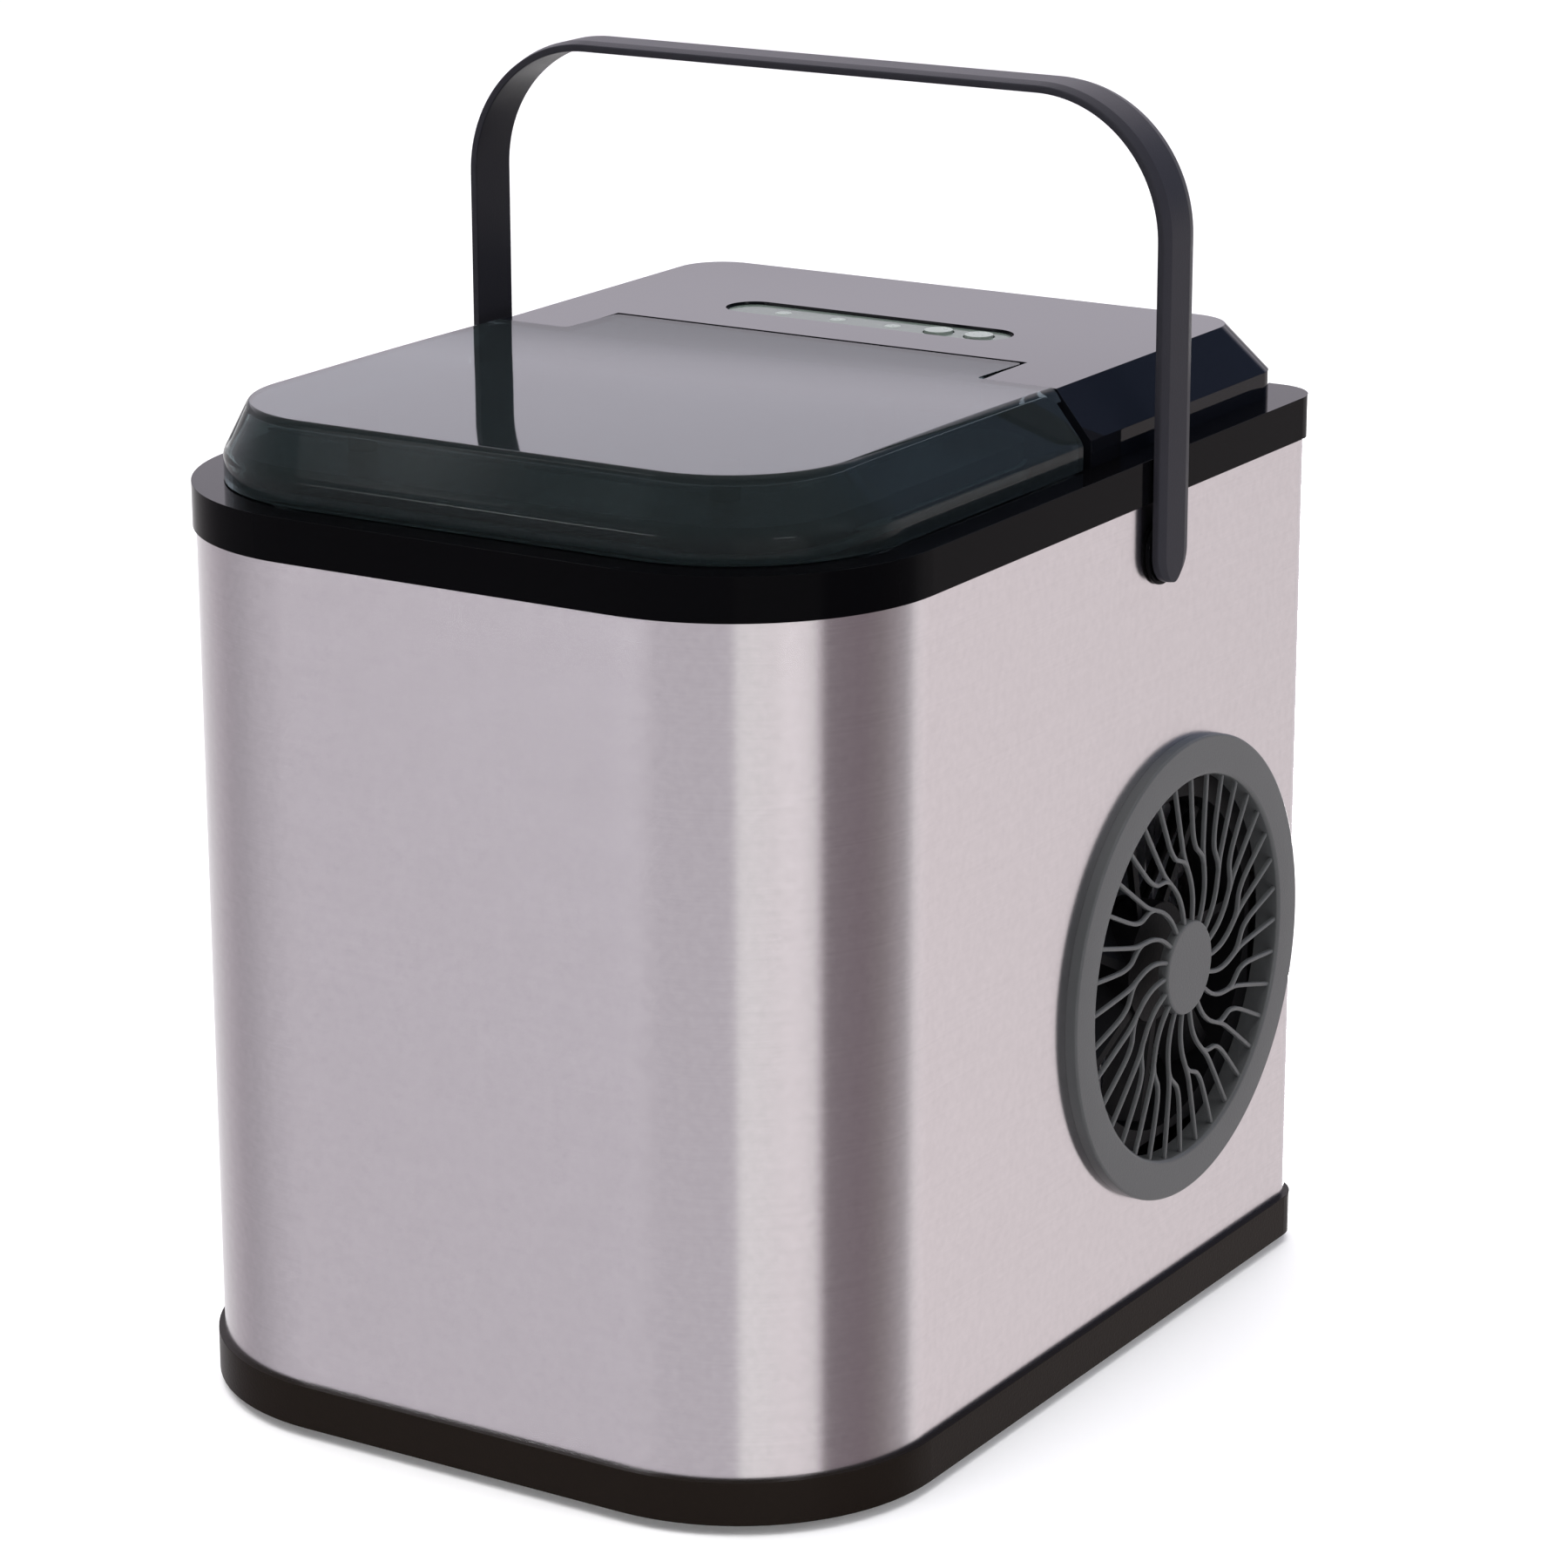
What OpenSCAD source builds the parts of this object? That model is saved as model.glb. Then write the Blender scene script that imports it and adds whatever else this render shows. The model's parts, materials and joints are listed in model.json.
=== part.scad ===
// Countertop ice maker: steel-wrapped case, smoked lid, carrying handle,
// side fan grille, and the ice-making machinery inside.
// Front is -Y, the fan side is +X, up is +Z, and the feet stand on z = 0.

/* [Case] */
// Width across the steel wrap
case_w = 216; // [190:1:270]
// Depth across the steel wrap
case_d = 275; // [260:1:340]
// Height of the steel wrap
wrap_h = 228; // [215:1:280]
// Corner radius at the front of the case
front_r = 57; // [35:1:65]
// Corner radius at the rear of the case
rear_r = 12; // [8:1:18]
// Thickness of the steel sheet
sheet_t = 0.8; // [0.6:0.1:1.2]
// Height of the black base band
base_h = 12; // [10:1:18]
// How far the base band stands out from the steel
base_lip = 1.8; // [1:0.1:3]
// Height of the rubber feet below the base
foot_h = 3; // [2:0.5:6]
// Radius of a foot
foot_r = 9; // [6:0.5:12]
// Height of the black band above the steel
ring_h = 12; // [9:1:18]
// How far the top band stands out from the steel
ring_lip = 1; // [0.5:0.1:1.2]
// Wall of the moulded plastic parts
wall = 2.5; // [2:0.1:3]

/* [Cap] */
// Step in from the steel to the skirt of the lid and rear panel
cap_inset = 7.7; // [6:0.1:10]
// Height of the upright skirt
skirt_h = 7.5; // [6:0.5:12]
// Height of the sloping rim above the skirt
slope_h = 13; // [11:0.5:18]
// Step in of the flat top at the sides
top_in_side = 10.7; // [6:0.1:14]
// Step in of the flat top at the front
top_in_front = 7; // [4:0.1:12]
// Step in of the flat top at the rear
top_in_rear = 4.9; // [3:0.1:10]
// Gap under the lid skirt
lid_gap = 0.4; // [0.3:0.1:1]
// Gap of the seam between lid and rear panel
seam_gap = 1.6; // [1.4:0.1:2]
// Half width of the lid tongue that carries the hinge
tongue_half = 66; // [50:1:70]
// Distance from the hinge axis to the seam in front of it
hinge_to_seam = 11.5; // [10:0.5:14]
// Distance from the hinge axis to the seam behind it
hinge_to_rear = 14; // [12:0.5:16]
// Depth of the hinge axis below the lid top
hinge_drop = 5; // [4:0.1:6]
// Radius of the lid hinge pins
pin_r = 1.8; // [1.2:0.1:2.2]

/* [Display] */
// Length of the display strip
strip_l = 92; // [70:1:110]
// Width of the display strip
strip_w = 16; // [12:0.5:20]
// Distance from the tongue seam to the middle of the strip
strip_back = 27; // [22:0.5:34]
// Depth of the strip below the panel top
strip_drop = 0.8; // [0.6:0.1:3]
// Radius of a push button
button_r = 4; // [3:0.1:5]
// Travel of a push button
button_travel = 0.8; // [0.5:0.1:1.2]

/* [Handle] */
// Width of the handle strap
strap_w = 17; // [12:0.5:22]
// Thickness of the handle strap
strap_t = 2.8; // [2:0.1:4]
// Height of the handle above its pivot
handle_rise = 124.5; // [110:0.5:160]
// Outer radius of the handle's top corners
handle_r = 40; // [20:1:60]
// Gap between a leg and the top band
leg_gap = 0.6; // [0.5:0.1:1]
// Distance of the handle pivot behind the middle of the case
pivot_y = 43; // [36:0.5:60]
// Depth of the handle pivot below the top of the steel
pivot_drop = 14.5; // [12:0.5:30]
// Radius of the handle pivot pins
pivot_pin_r = 4; // [3:0.1:5]
// Running clearance on radius for pins and shafts
fit = 0.06; // [0.03:0.01:0.09]

/* [Fan] */
// Outer radius of the fan grille
grille_r = 66; // [55:0.5:72]
// Radius of the open, ribbed part of the grille
grille_open_r = 54.5; // [45:0.5:58]
// How far the grille ring stands out of the steel
grille_proud = 3.4; // [1:0.1:4.2]
// Distance from the rear of the case to the fan axis
fan_from_rear = 78.5; // [76:0.5:90]
// Height of the fan axis above the top of the base
fan_up = 90.5; // [85:0.5:110]
// Number of ribs in the grille
rib_n = 36; // [24:1:44]
// Radius of the fan blades
blade_r = 46; // [38:0.5:47]
// Half width of the square fan frame
fan_frame_half = 50; // [49:0.5:54]

/* [Ice section] */
// Inner width of the tub
tub_w = 168; // [150:1:172]
// Inner depth of the tub, front to back
tub_d = 124; // [118:1:130]
// Step in from the front of the case to the tub cavity
tub_front = 19.5; // [18:0.5:24]
// Inner corner radius at the front of the tub
tub_r = 24; // [15:1:32]
// Inner corner radius at the rear of the tub
tub_rear_r = 10; // [6:1:10]
// Height of the tub floor above the top of the base
tub_floor_up = 47; // [40:1:60]
// Depth of the ice basket, front to back
basket_d = 62; // [50:1:66]
// Height of the ice basket
basket_h = 80; // [60:1:90]
// Height of the basket shelf above the tub floor
shelf_up = 48; // [35:1:55]
// Width of the water tray
tray_w = 120; // [100:1:130]
// Depth of the water tray, front to back
tray_d = 34; // [30:1:35]
// Height of the water tray
tray_h = 20; // [16:0.5:22]
// Distance from the tray axis to the tub's rear wall
tray_back = 18; // [18:0.5:24]
// Height of the tray axis above the tub floor
tray_up = 128; // [124:1:140]
// Number of freezing fingers
finger_n = 8; // [6:1:9]
// Radius of a freezing finger
finger_r = 4.5; // [3.5:0.1:5]

/* [Machinery] */
// Radius of the compressor shell
comp_r = 42; // [36:0.5:44]
// Height of the compressor shell
comp_h = 108; // [90:1:120]
// Thickness of the condenser
cond_t = 22; // [18:1:24]
// Spacing of the condenser fins
fin_pitch = 5; // [4:0.5:8]
// Radius of the drain plug
plug_r = 6; // [5:0.5:8]

/* [Hidden] */

$fn = 96;
eps = 0.01;
over = 1;

// Heights from the floor up
base_z = foot_h;
wrap_z = base_z + base_h;
ring_z = wrap_z + wrap_h;
deck_z = ring_z + ring_h;
skirt_z = deck_z + skirt_h;
top_z = skirt_z + slope_h;

// Cap outlines
cap_w = case_w - 2 * cap_inset;
cap_d = case_d - 2 * cap_inset;
cap_front_r = front_r - cap_inset;
cap_rear_r = 12;
flat_w = cap_w - 2 * top_in_side;
flat_front = -cap_d / 2 + top_in_front;
flat_rear = cap_d / 2 - top_in_rear;
flat_front_r = 35;
flat_rear_r = 14;

// Handle
leg_in = case_w / 2 + ring_lip + leg_gap;
leg_out = leg_in + strap_t;
pivot_z = ring_z - pivot_drop;
handle_top = pivot_z + handle_rise;
boss_r = strap_w / 2 + 1;
bush_sleeve_r = pivot_pin_r + 2.2;
bush_in = 8;
clip_t = 1.6;

// Lid hinge, in front of the upright handle
lid_top_to_handle = 2;
hinge_y = pivot_y - strap_w / 2 - lid_top_to_handle - hinge_drop;
hinge_z = top_z - hinge_drop;
lid_rear = hinge_y - hinge_to_seam - seam_gap / 2;
ear_front = lid_rear + seam_gap;
tongue_rear = hinge_y + hinge_to_rear - seam_gap / 2;
panel_front = tongue_rear + seam_gap;
ear_gap = 0.6;
pin_reach = 8;

// Display
strip_y = panel_front + strip_back;
strip_z = top_z - strip_drop;
lens_t = 1.6;
board_z = top_z - 12;
lamp_x = [-28, -10, 8];
button_x = [23, 36];

// Tub
tub_front_y = -case_d / 2 + tub_front;
tub_rear_y = tub_front_y + tub_d;
tub_mid_y = (tub_front_y + tub_rear_y) / 2;
tub_wall = 2;
tub_z = wrap_z + tub_floor_up;
flange_w = 6;
flange_t = 2;
seat_z = deck_z + flange_t;
panel_z = seat_z + 5;
panel_t = 2;

// Basket
basket_w = tub_w - 10;
basket_front = tub_front_y + 4;
basket_z = tub_z + shelf_up + 0.4;
basket_wall = 2;
shelf_w = 8;

// Tray and evaporator
tray_y = tub_rear_y - tray_back;
tray_z = tub_z + tray_up;
tray_wall = 1.5;
shaft_r = 3;
finger_y = tray_y - tray_d / 2;
finger_tip = tray_z - 14;
header_r = 5;
header_z = tray_z + 19;
finger_pitch = (tray_w - 24) / finger_n;

// Fan
fan_y = case_d / 2 - fan_from_rear;
fan_z = wrap_z + fan_up;
wrap_x = case_w / 2;
frame_t = 16;
grille_depth = 4;
frame_x = wrap_x - grille_depth - frame_t;
hub_r = 17;
rotor_x = frame_x + 3;
rotor_t = 10;
fan_shaft_r = 2;
rib_w = 1.3;
rib_t = 2;
grille_hub = 13.5;

// Machinery bay
bay_front = tub_rear_y + tub_wall + 7;
plate_z = base_z + wall + 2.5;
plate_t = 1.5;
comp_x = -case_w / 2 + comp_r + 16;
comp_y = bay_front + comp_r + 6;
comp_z = plate_z + plate_t + 10.5;
cond_x = frame_x - cond_t - 2;
cond_front = bay_front + 4;
cond_d = 88;
cond_h = 88;
cond_z = fan_z - cond_h / 2;
rear_y = case_d / 2;
cover_in = rear_y - sheet_t - wall;
cover_half = case_w / 2 - rear_r - 2;
plug_x = cover_half - 42;
plug_z = wrap_z + 14;
plug_pocket = 12;
inlet_x = -plug_x;
inlet_z = wrap_z + 22;
inlet_w = 27;
inlet_h = 20;
control_y = cover_in - 8;
control_z = ring_z - 90;

// ---- shared shapes ----

// Rounded footprint between two y values, with its own front and rear corner radii
module plan(w, y0, y1, rf, rb) {
    for (s = [-1, 1]) {
        translate([s * (w / 2 - rf), y0 + rf]) circle(rf);
        translate([s * (w / 2 - rb), y1 - rb]) circle(rb);
    }
    translate([-w / 2 + rf, y0]) square([w - 2 * rf, rf + eps]);
    translate([-w / 2, y0 + rf]) square([w, y1 - y0 - rf - rb]);
    translate([-w / 2 + rb, y1 - rb - eps]) square([w - 2 * rb, rb + eps]);
}

// Footprint of the case, stepped in or out all round
module case_plan(step) {
    plan(case_w + 2 * step, -case_d / 2 - step, case_d / 2 + step, front_r + step, rear_r + step);
}

module tub_plan(step) {
    plan(tub_w + 2 * step, tub_front_y - step, tub_rear_y + step, tub_r + step, tub_rear_r + step);
}

// Cylinder along X, starting at x
module rod_x(x, y, z, r, len) {
    translate([x, y, z]) rotate([0, 90, 0]) cylinder(r = r, h = len);
}

// Cylinder along Y, starting at y
module rod_y(x, y, z, r, len) {
    translate([x, y, z]) rotate([-90, 0, 0]) cylinder(r = r, h = len);
}

// Solid cap with a sloping rim, stepped in by a wall
module cap_solid(step, bottom) {
    hull() {
        translate([0, 0, bottom])
            linear_extrude(skirt_z - bottom)
                plan(cap_w - 2 * step, -cap_d / 2 + step, cap_d / 2 - step,
                     cap_front_r - step, cap_rear_r - step);
        translate([0, 0, top_z - step - eps])
            linear_extrude(eps)
                plan(flat_w - step, flat_front + step / 2, flat_rear - step / 2,
                     flat_front_r - step, flat_rear_r - step);
    }
}

// Footprint in front of the seam: the lid and its tongue, stepped in by a wall
module lid_side(step) {
    translate([-case_w, -case_d]) square([2 * case_w, case_d + lid_rear - step]);
}

module tongue_side(step) {
    translate([-tongue_half + step, -case_d])
        square([2 * (tongue_half - step), case_d + tongue_rear - step]);
}

// Footprint behind the seam: the rear panel and its two ears
module panel_side(step) {
    difference() {
        translate([-case_w, ear_front + step]) square([2 * case_w, case_d]);
        translate([-tongue_half - ear_gap - step, -case_d])
            square([2 * (tongue_half + ear_gap + step), case_d + panel_front + step]);
    }
}

// Pipe through a list of points, with round joints
module pipe(points, r) {
    for (i = [0 : len(points) - 2]) {
        run = points[i + 1] - points[i];
        reach = norm(run);
        tilt = acos(run[2] / reach);
        turn = atan2(run[1], run[0]);
        translate(points[i]) rotate([0, tilt, turn]) cylinder(r = r, h = reach, $fn = 32);
    }
    for (i = [1 : len(points) - 2]) translate(points[i]) sphere(r + 0.4, $fn = 32);
}

// ---- case ----

module base_tray() {
    post_r = 5;
    color("#1c1714")
    difference() {
        union() {
            translate([0, 0, base_z])
                linear_extrude(base_h)
                    difference() {
                        case_plan(base_lip);
                        case_plan(-sheet_t - wall);
                    }
            translate([0, 0, base_z]) linear_extrude(wall) case_plan(0);
            translate([0, 0, wrap_z - eps])
                linear_extrude(5)
                    difference() {
                        case_plan(-sheet_t - 0.1);
                        case_plan(-sheet_t - wall);
                    }
            for (x = plate_post_x, y = plate_post_y)
                translate([x, y, base_z]) cylinder(r = post_r, h = plate_z - base_z);
        }
        for (x = [-1, 1], y = [-1, 1]) foot_place(x, y) translate([0, 0, -over]) cylinder(r = 3, h = wall + 2 * over);
        translate([-cover_half - 0.2, rear_y - 6, wrap_z])
            cube([2 * cover_half + 0.4, 6 + over, 6]);
    }
}

plate_post_x = [-case_w / 2 + 22, case_w / 2 - 22];
plate_post_y = [bay_front + 8, rear_y - 20];

module foot_place(sx, sy) {
    inset = 34;
    translate([sx * (case_w / 2 - inset), sy * (case_d / 2 - inset), base_z]) children();
}

module rubber_feet() {
    color("#222222")
    for (x = [-1, 1], y = [-1, 1])
        foot_place(x, y) {
            translate([0, 0, -foot_h]) cylinder(r = foot_r, h = foot_h);
            translate([0, 0, -eps]) cylinder(r = 3, h = wall + 1);
        }
}

module outer_wrap() {
    color("#b9b0b6")
    difference() {
        translate([0, 0, wrap_z])
            linear_extrude(wrap_h)
                difference() {
                    case_plan(0);
                    case_plan(-sheet_t);
                }
        translate([-cover_half, rear_y - rear_r, wrap_z - over])
            cube([2 * cover_half, rear_r + over, wrap_h + 2 * over]);
        rod_x(wrap_x - 5, fan_y, fan_z, grille_open_r + 3, 10);
        for (s = [-1, 1])
            rod_x(s * wrap_x - 5, pivot_y, pivot_z, bush_sleeve_r, 10);
    }
}

module rear_cover() {
    slot_w = 4;
    slot_n = 11;
    slot_pitch = 9;
    slot_half = 62;
    color("#26262a")
    difference() {
        union() {
            translate([-cover_half, cover_in, wrap_z]) cube([2 * cover_half, rear_y - cover_in, wrap_h]);
            translate([-cover_half - cover_lap, cover_in, wrap_z + 6])
                cube([2 * (cover_half + cover_lap), wall, wrap_h - 12]);
            translate([plug_x - plug_pocket - 2, rear_y - plug_pocket, plug_z - plug_pocket - 1])
                cube([2 * plug_pocket + 4, plug_pocket, 2 * plug_pocket + 3]);
        }
        for (i = [0 : slot_n - 1])
            translate([-slot_half, rear_y - 10, fan_z - 20 + i * slot_pitch])
                cube([2 * slot_half, 20, slot_w]);
        translate([plug_x - plug_pocket, rear_y - plug_pocket + 2, plug_z - plug_pocket + 1])
            cube([2 * plug_pocket, plug_pocket, 2 * plug_pocket - 1]);
        rod_y(plug_x, rear_y - plug_pocket - over, plug_z, plug_r + 2, 10);
        translate([inlet_x - inlet_w / 2, rear_y - 10, inlet_z - inlet_h / 2]) cube([inlet_w, 20, inlet_h]);
        for (x = cover_screw_x, z = cover_screw_z)
            rod_y(x, rear_y - 10, z, 1.6, 20);
    }
}

cover_lap = 2;
cover_screw_x = [-cover_half + 7, cover_half - 7];
cover_screw_z = [wrap_z + wrap_h / 2 - 70, wrap_z + wrap_h - 14];

module top_ring() {
    band = sheet_t + wall;
    color("#0e0e10")
    difference() {
        union() {
            translate([0, 0, ring_z]) linear_extrude(ring_h) case_plan(ring_lip);
            translate([0, 0, ring_z - 5])
                linear_extrude(5 + eps)
                    case_plan(-sheet_t - 0.1);
        }
        translate([0, 0, ring_z - 5 - over])
            linear_extrude(ring_h + 5 + over - 3)
                case_plan(-band);
        translate([0, 0, ring_z]) linear_extrude(ring_h + over) tub_plan(tub_wall);
        translate([0, 0, ring_z])
            linear_extrude(ring_h + over)
                plan(2 * cover_half - 24, panel_front + 4, rear_y - 22, 6, 6);
        for (s = [-1, 1])
            rod_x(s * wrap_x - 15, pivot_y, pivot_z, boss_r + 1, 30);
        translate([-cover_half - cover_lap - 0.2, rear_y - 6, ring_z - 6])
            cube([2 * (cover_half + cover_lap) + 0.4, 6, 6]);
    }
}

module foam_insulation() {
    foam_gap = 1.5;
    bottom_t = 8;
    color("#e8e2cf")
    difference() {
        translate([0, 0, tub_z - tub_wall - bottom_t])
            linear_extrude(ring_z - 6 - tub_z + tub_wall + bottom_t)
                intersection() {
                    case_plan(-sheet_t - wall - foam_gap);
                    translate([-case_w, -case_d]) square([2 * case_w, case_d + bay_front - 1]);
                }
        translate([0, 0, tub_z - tub_wall - 0.2]) linear_extrude(ring_z) tub_plan(tub_wall + 0.2);
        translate([frame_x - 1, fan_y - fan_frame_half - 1, fan_z - fan_frame_half - 1])
            cube([case_w, 2 * fan_frame_half + 2, 2 * fan_frame_half + 2]);
        rod_x(frame_x - 1, fan_y, fan_z, grille_open_r + 4, case_w);
        translate([-case_w, tray_y - motor_r - 2, tray_z - motor_r - 2])
            cube([case_w - tub_w / 2 - tub_wall, 2 * motor_r + 4, ring_z - tray_z + motor_r]);
        rod_x(tub_w / 2, tray_y, tray_z, shaft_r + 4, 12);
        for (x = [-header_x, header_x])
            rod_y(x, tub_rear_y, header_z, 5, 20);
        rod_y(pump_x, tub_rear_y, tub_z + 10, 6, 20);
        rod_y(hose_x, tub_rear_y, hose_z, 6, 20);
        translate([plug_x, drain_y, tub_z - tub_wall - bottom_t - over]) cylinder(r = 6, h = bottom_t + 2 * over);
    }
}

motor_r = 25;
motor_t = 14;
header_x = tray_w / 2 + 8;
pump_x = plug_x - 32;
hose_x = tray_w / 2 - 6;
hose_z = tray_z + 8;
drain_y = tub_rear_y - 26;

module inner_tub() {
    color("#d9dcde")
    difference() {
        union() {
            translate([0, 0, tub_z - tub_wall])
                linear_extrude(deck_z - tub_z + tub_wall)
                    tub_plan(tub_wall);
            translate([0, 0, deck_z]) linear_extrude(flange_t) tub_plan(flange_w);
        }
        difference() {
            translate([0, 0, tub_z]) linear_extrude(ring_z + ring_h) tub_plan(0);
            for (s = [-1, 1])
                translate([s * (tub_w / 2 - shelf_w / 2) - shelf_w / 2, basket_front, tub_z + shelf_up - 4])
                    cube([shelf_w, basket_d, 4]);
        }
        for (s = [-1, 1])
            rod_x(s * (tub_w / 2 + 1) - 3, tray_y, tray_z, shaft_r + 2, 6);
        for (x = [-header_x, header_x])
            rod_y(x, tub_rear_y - 1, header_z, 3.5, 5);
        rod_y(pump_x, tub_rear_y - 1, tub_z + 10, 3.5, 5);
        rod_y(hose_x, tub_rear_y - 1, hose_z, 3.5, 5);
    }
}

// ---- lid ----

module lid_shell() {
    block_w = 12;
    color("#2b2f33")
    difference() {
        union() {
            difference() {
                intersection() {
                    cap_solid(0, deck_z + lid_gap);
                    translate([0, 0, deck_z]) linear_extrude(top_z) lid_side(0);
                }
                intersection() {
                    cap_solid(wall, deck_z - over);
                    translate([0, 0, deck_z - over]) linear_extrude(top_z) lid_side(wall);
                }
            }
            translate([-tongue_half, lid_rear - wall, top_z - 3])
                cube([2 * tongue_half, tongue_rear - lid_rear + wall, 3]);
            for (s = [-1, 1])
                translate([s * (tongue_half - block_w / 2) - block_w / 2, lid_rear - wall, hinge_z - 5])
                    cube([block_w, hinge_y - lid_rear + wall + 6, top_z - hinge_z + 5]);
        }
        for (s = [-1, 1])
            rod_x(s * (tongue_half - pin_reach / 2) - pin_reach / 2 - 1, hinge_y, hinge_z, pin_r + fit, pin_reach + 2);
    }
}

module lid_hinge_pins() {
    color("#c8c8c8")
    for (s = [-1, 1])
        rod_x(s * (tongue_half + 0.5) - pin_reach + 0.5, hinge_y, hinge_z, pin_r, 2 * pin_reach - 1);
}

module lid_inner_panel() {
    color("#4b5357")
    union() {
        translate([0, 0, panel_z]) linear_extrude(panel_t) tub_plan(flange_w - 1);
        for (x = [-1, 1], y = [-1, 1])
            translate([x * (tub_w / 2 - 28), tub_mid_y + y * (tub_d / 2 - 24), panel_z + panel_t - eps])
                cylinder(r = 4, h = top_z - wall - panel_z - panel_t);
    }
}

module lid_gasket() {
    color("#55585a")
    translate([0, 0, seat_z + 0.4])
        linear_extrude(panel_z - seat_z - 0.4)
            difference() {
                tub_plan(flange_w - 1.5);
                tub_plan(1.5);
            }
}

// ---- rear panel and controls ----

module strip_plan(step) {
    half = strip_l / 2 - strip_w / 2;
    r = strip_w / 2 - step;
    for (s = [-1, 1]) translate([s * half, strip_y]) circle(r);
    translate([-half, strip_y - r]) square([2 * half, 2 * r]);
}

module rear_panel() {
    ledge = 2;
    color("#141519")
    difference() {
        union() {
            difference() {
                intersection() {
                    cap_solid(0, deck_z);
                    translate([0, 0, deck_z]) linear_extrude(top_z) panel_side(0);
                }
                intersection() {
                    cap_solid(wall, deck_z - over);
                    translate([0, 0, deck_z - over]) linear_extrude(top_z) panel_side(wall);
                }
            }
            translate([0, 0, strip_z - lens_t - 2])
                linear_extrude(strip_drop + lens_t + 1)
                    strip_plan(-2);
            for (s = [-1, 1])
                rod_x(s * (tongue_half + ear_gap + 4) - 4, hinge_y, hinge_z, pin_r + 2.4, 8);
        }
        translate([0, 0, strip_z]) linear_extrude(strip_drop + over) strip_plan(0);
        translate([0, 0, strip_z - lens_t]) linear_extrude(lens_t + over) strip_plan(0.6);
        translate([0, 0, strip_z - lens_t - 2 - over]) linear_extrude(10) strip_plan(ledge);
        for (s = [-1, 1])
            rod_x(s * (tongue_half + ear_gap + 3.5) - 4.5, hinge_y, hinge_z, pin_r, 9);
    }
}

module display_lens() {
    color("#93a09b")
    translate([0, 0, strip_z - lens_t])
        linear_extrude(lens_t)
            difference() {
                strip_plan(0.6);
                for (x = button_x) translate([x, strip_y]) circle(button_r + 0.4);
            }
}

module indicator_lamps() {
    lamp_r = 2.2;
    color("#dff5e6")
    for (x = lamp_x)
        translate([x, strip_y, board_z + 1.6]) cylinder(r = lamp_r, h = strip_z - lens_t - board_z - 1.6);
}

module display_board() {
    edge = 4;
    color("#1f6b3a")
    union() {
        translate([-strip_l / 2 - edge, strip_y - strip_w / 2 - edge, board_z])
            cube([strip_l + 2 * edge, strip_w + 2 * edge, 1.6]);
        for (s = [-1, 1], t = [-1, 1])
            translate([s * (strip_l / 2 + 1), strip_y + t * (strip_w / 2 + 1), board_z + 1.6 - eps])
                cylinder(r = 2, h = top_z - wall - board_z - 1.6);
    }
}

module button_switches() {
    color("#303030")
    for (x = button_x)
        translate([x - 3, strip_y - 3, board_z + 1.6])
            cube([6, 6, switch_h]);
}

switch_h = 3.5;

module push_button(x) {
    stem_r = 1.6;
    gap = 0.4;
    color("#c9d1cd")
    translate([x, strip_y, 0]) {
        translate([0, 0, strip_z - lens_t]) cylinder(r = button_r, h = lens_t + 0.6);
        translate([0, 0, board_z + 1.6 + switch_h + button_travel + gap])
            cylinder(r = stem_r, h = strip_z - lens_t - board_z - 1.6 - switch_h - button_travel - gap + eps);
    }
}

module power_button() {
    push_button(button_x[0]);
}

module select_button() {
    push_button(button_x[1]);
}

// ---- handle ----

// One half of the strap seen from the front: a leg, a round corner, half the top
module strap_half() {
    bend_z = handle_top - handle_r;
    difference() {
        union() {
            translate([0, pivot_z]) square([leg_out, bend_z - pivot_z]);
            translate([0, pivot_z]) square([leg_out - handle_r, handle_top - pivot_z]);
            translate([leg_out - handle_r, bend_z]) circle(handle_r);
        }
        translate([-over, pivot_z - over]) square([leg_in + over, bend_z - pivot_z + over]);
        translate([-over, pivot_z]) square([leg_out - handle_r + over, handle_top - strap_t - pivot_z]);
        translate([leg_out - handle_r, bend_z]) circle(handle_r - strap_t);
    }
}

module carry_handle() {
    color("#303034")
    difference() {
        union() {
            for (s = [0, 1])
                mirror([s, 0, 0]) {
                    translate([0, pivot_y + strap_w / 2, 0])
                        rotate([90, 0, 0])
                            linear_extrude(strap_w) strap_half();
                    rod_x(leg_in, pivot_y, pivot_z, strap_w / 2, strap_t);
                }
        }
        for (s = [0, 1])
            mirror([s, 0, 0]) rod_x(leg_in - over, pivot_y, pivot_z, pivot_pin_r, strap_t + over - 0.8);
    }
}

module handle_pins() {
    reach = bush_in + clip_t + 1.4;
    color("#b0b0b0")
    for (s = [0, 1])
        mirror([s, 0, 0])
            rod_x(wrap_x - reach, pivot_y, pivot_z, pivot_pin_r, leg_out - 0.8 - wrap_x + reach);
}

module handle_bushes() {
    color("#0c0c0e")
    for (s = [0, 1])
        mirror([s, 0, 0])
            difference() {
                union() {
                    rod_x(wrap_x, pivot_y, pivot_z, boss_r, ring_lip + leg_gap - 0.3);
                    rod_x(wrap_x - bush_in, pivot_y, pivot_z, bush_sleeve_r, bush_in + eps);
                }
                rod_x(wrap_x - bush_in - over, pivot_y, pivot_z, pivot_pin_r + fit, bush_in + 5);
            }
}

module handle_clips() {
    color("#9a9a9a")
    for (s = [0, 1])
        mirror([s, 0, 0])
            difference() {
                rod_x(wrap_x - bush_in - 0.4 - clip_t, pivot_y, pivot_z, pivot_pin_r + 3, clip_t);
                rod_x(wrap_x - bush_in - 5, pivot_y, pivot_z, pivot_pin_r, 8);
            }
}

// ---- fan side ----

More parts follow.
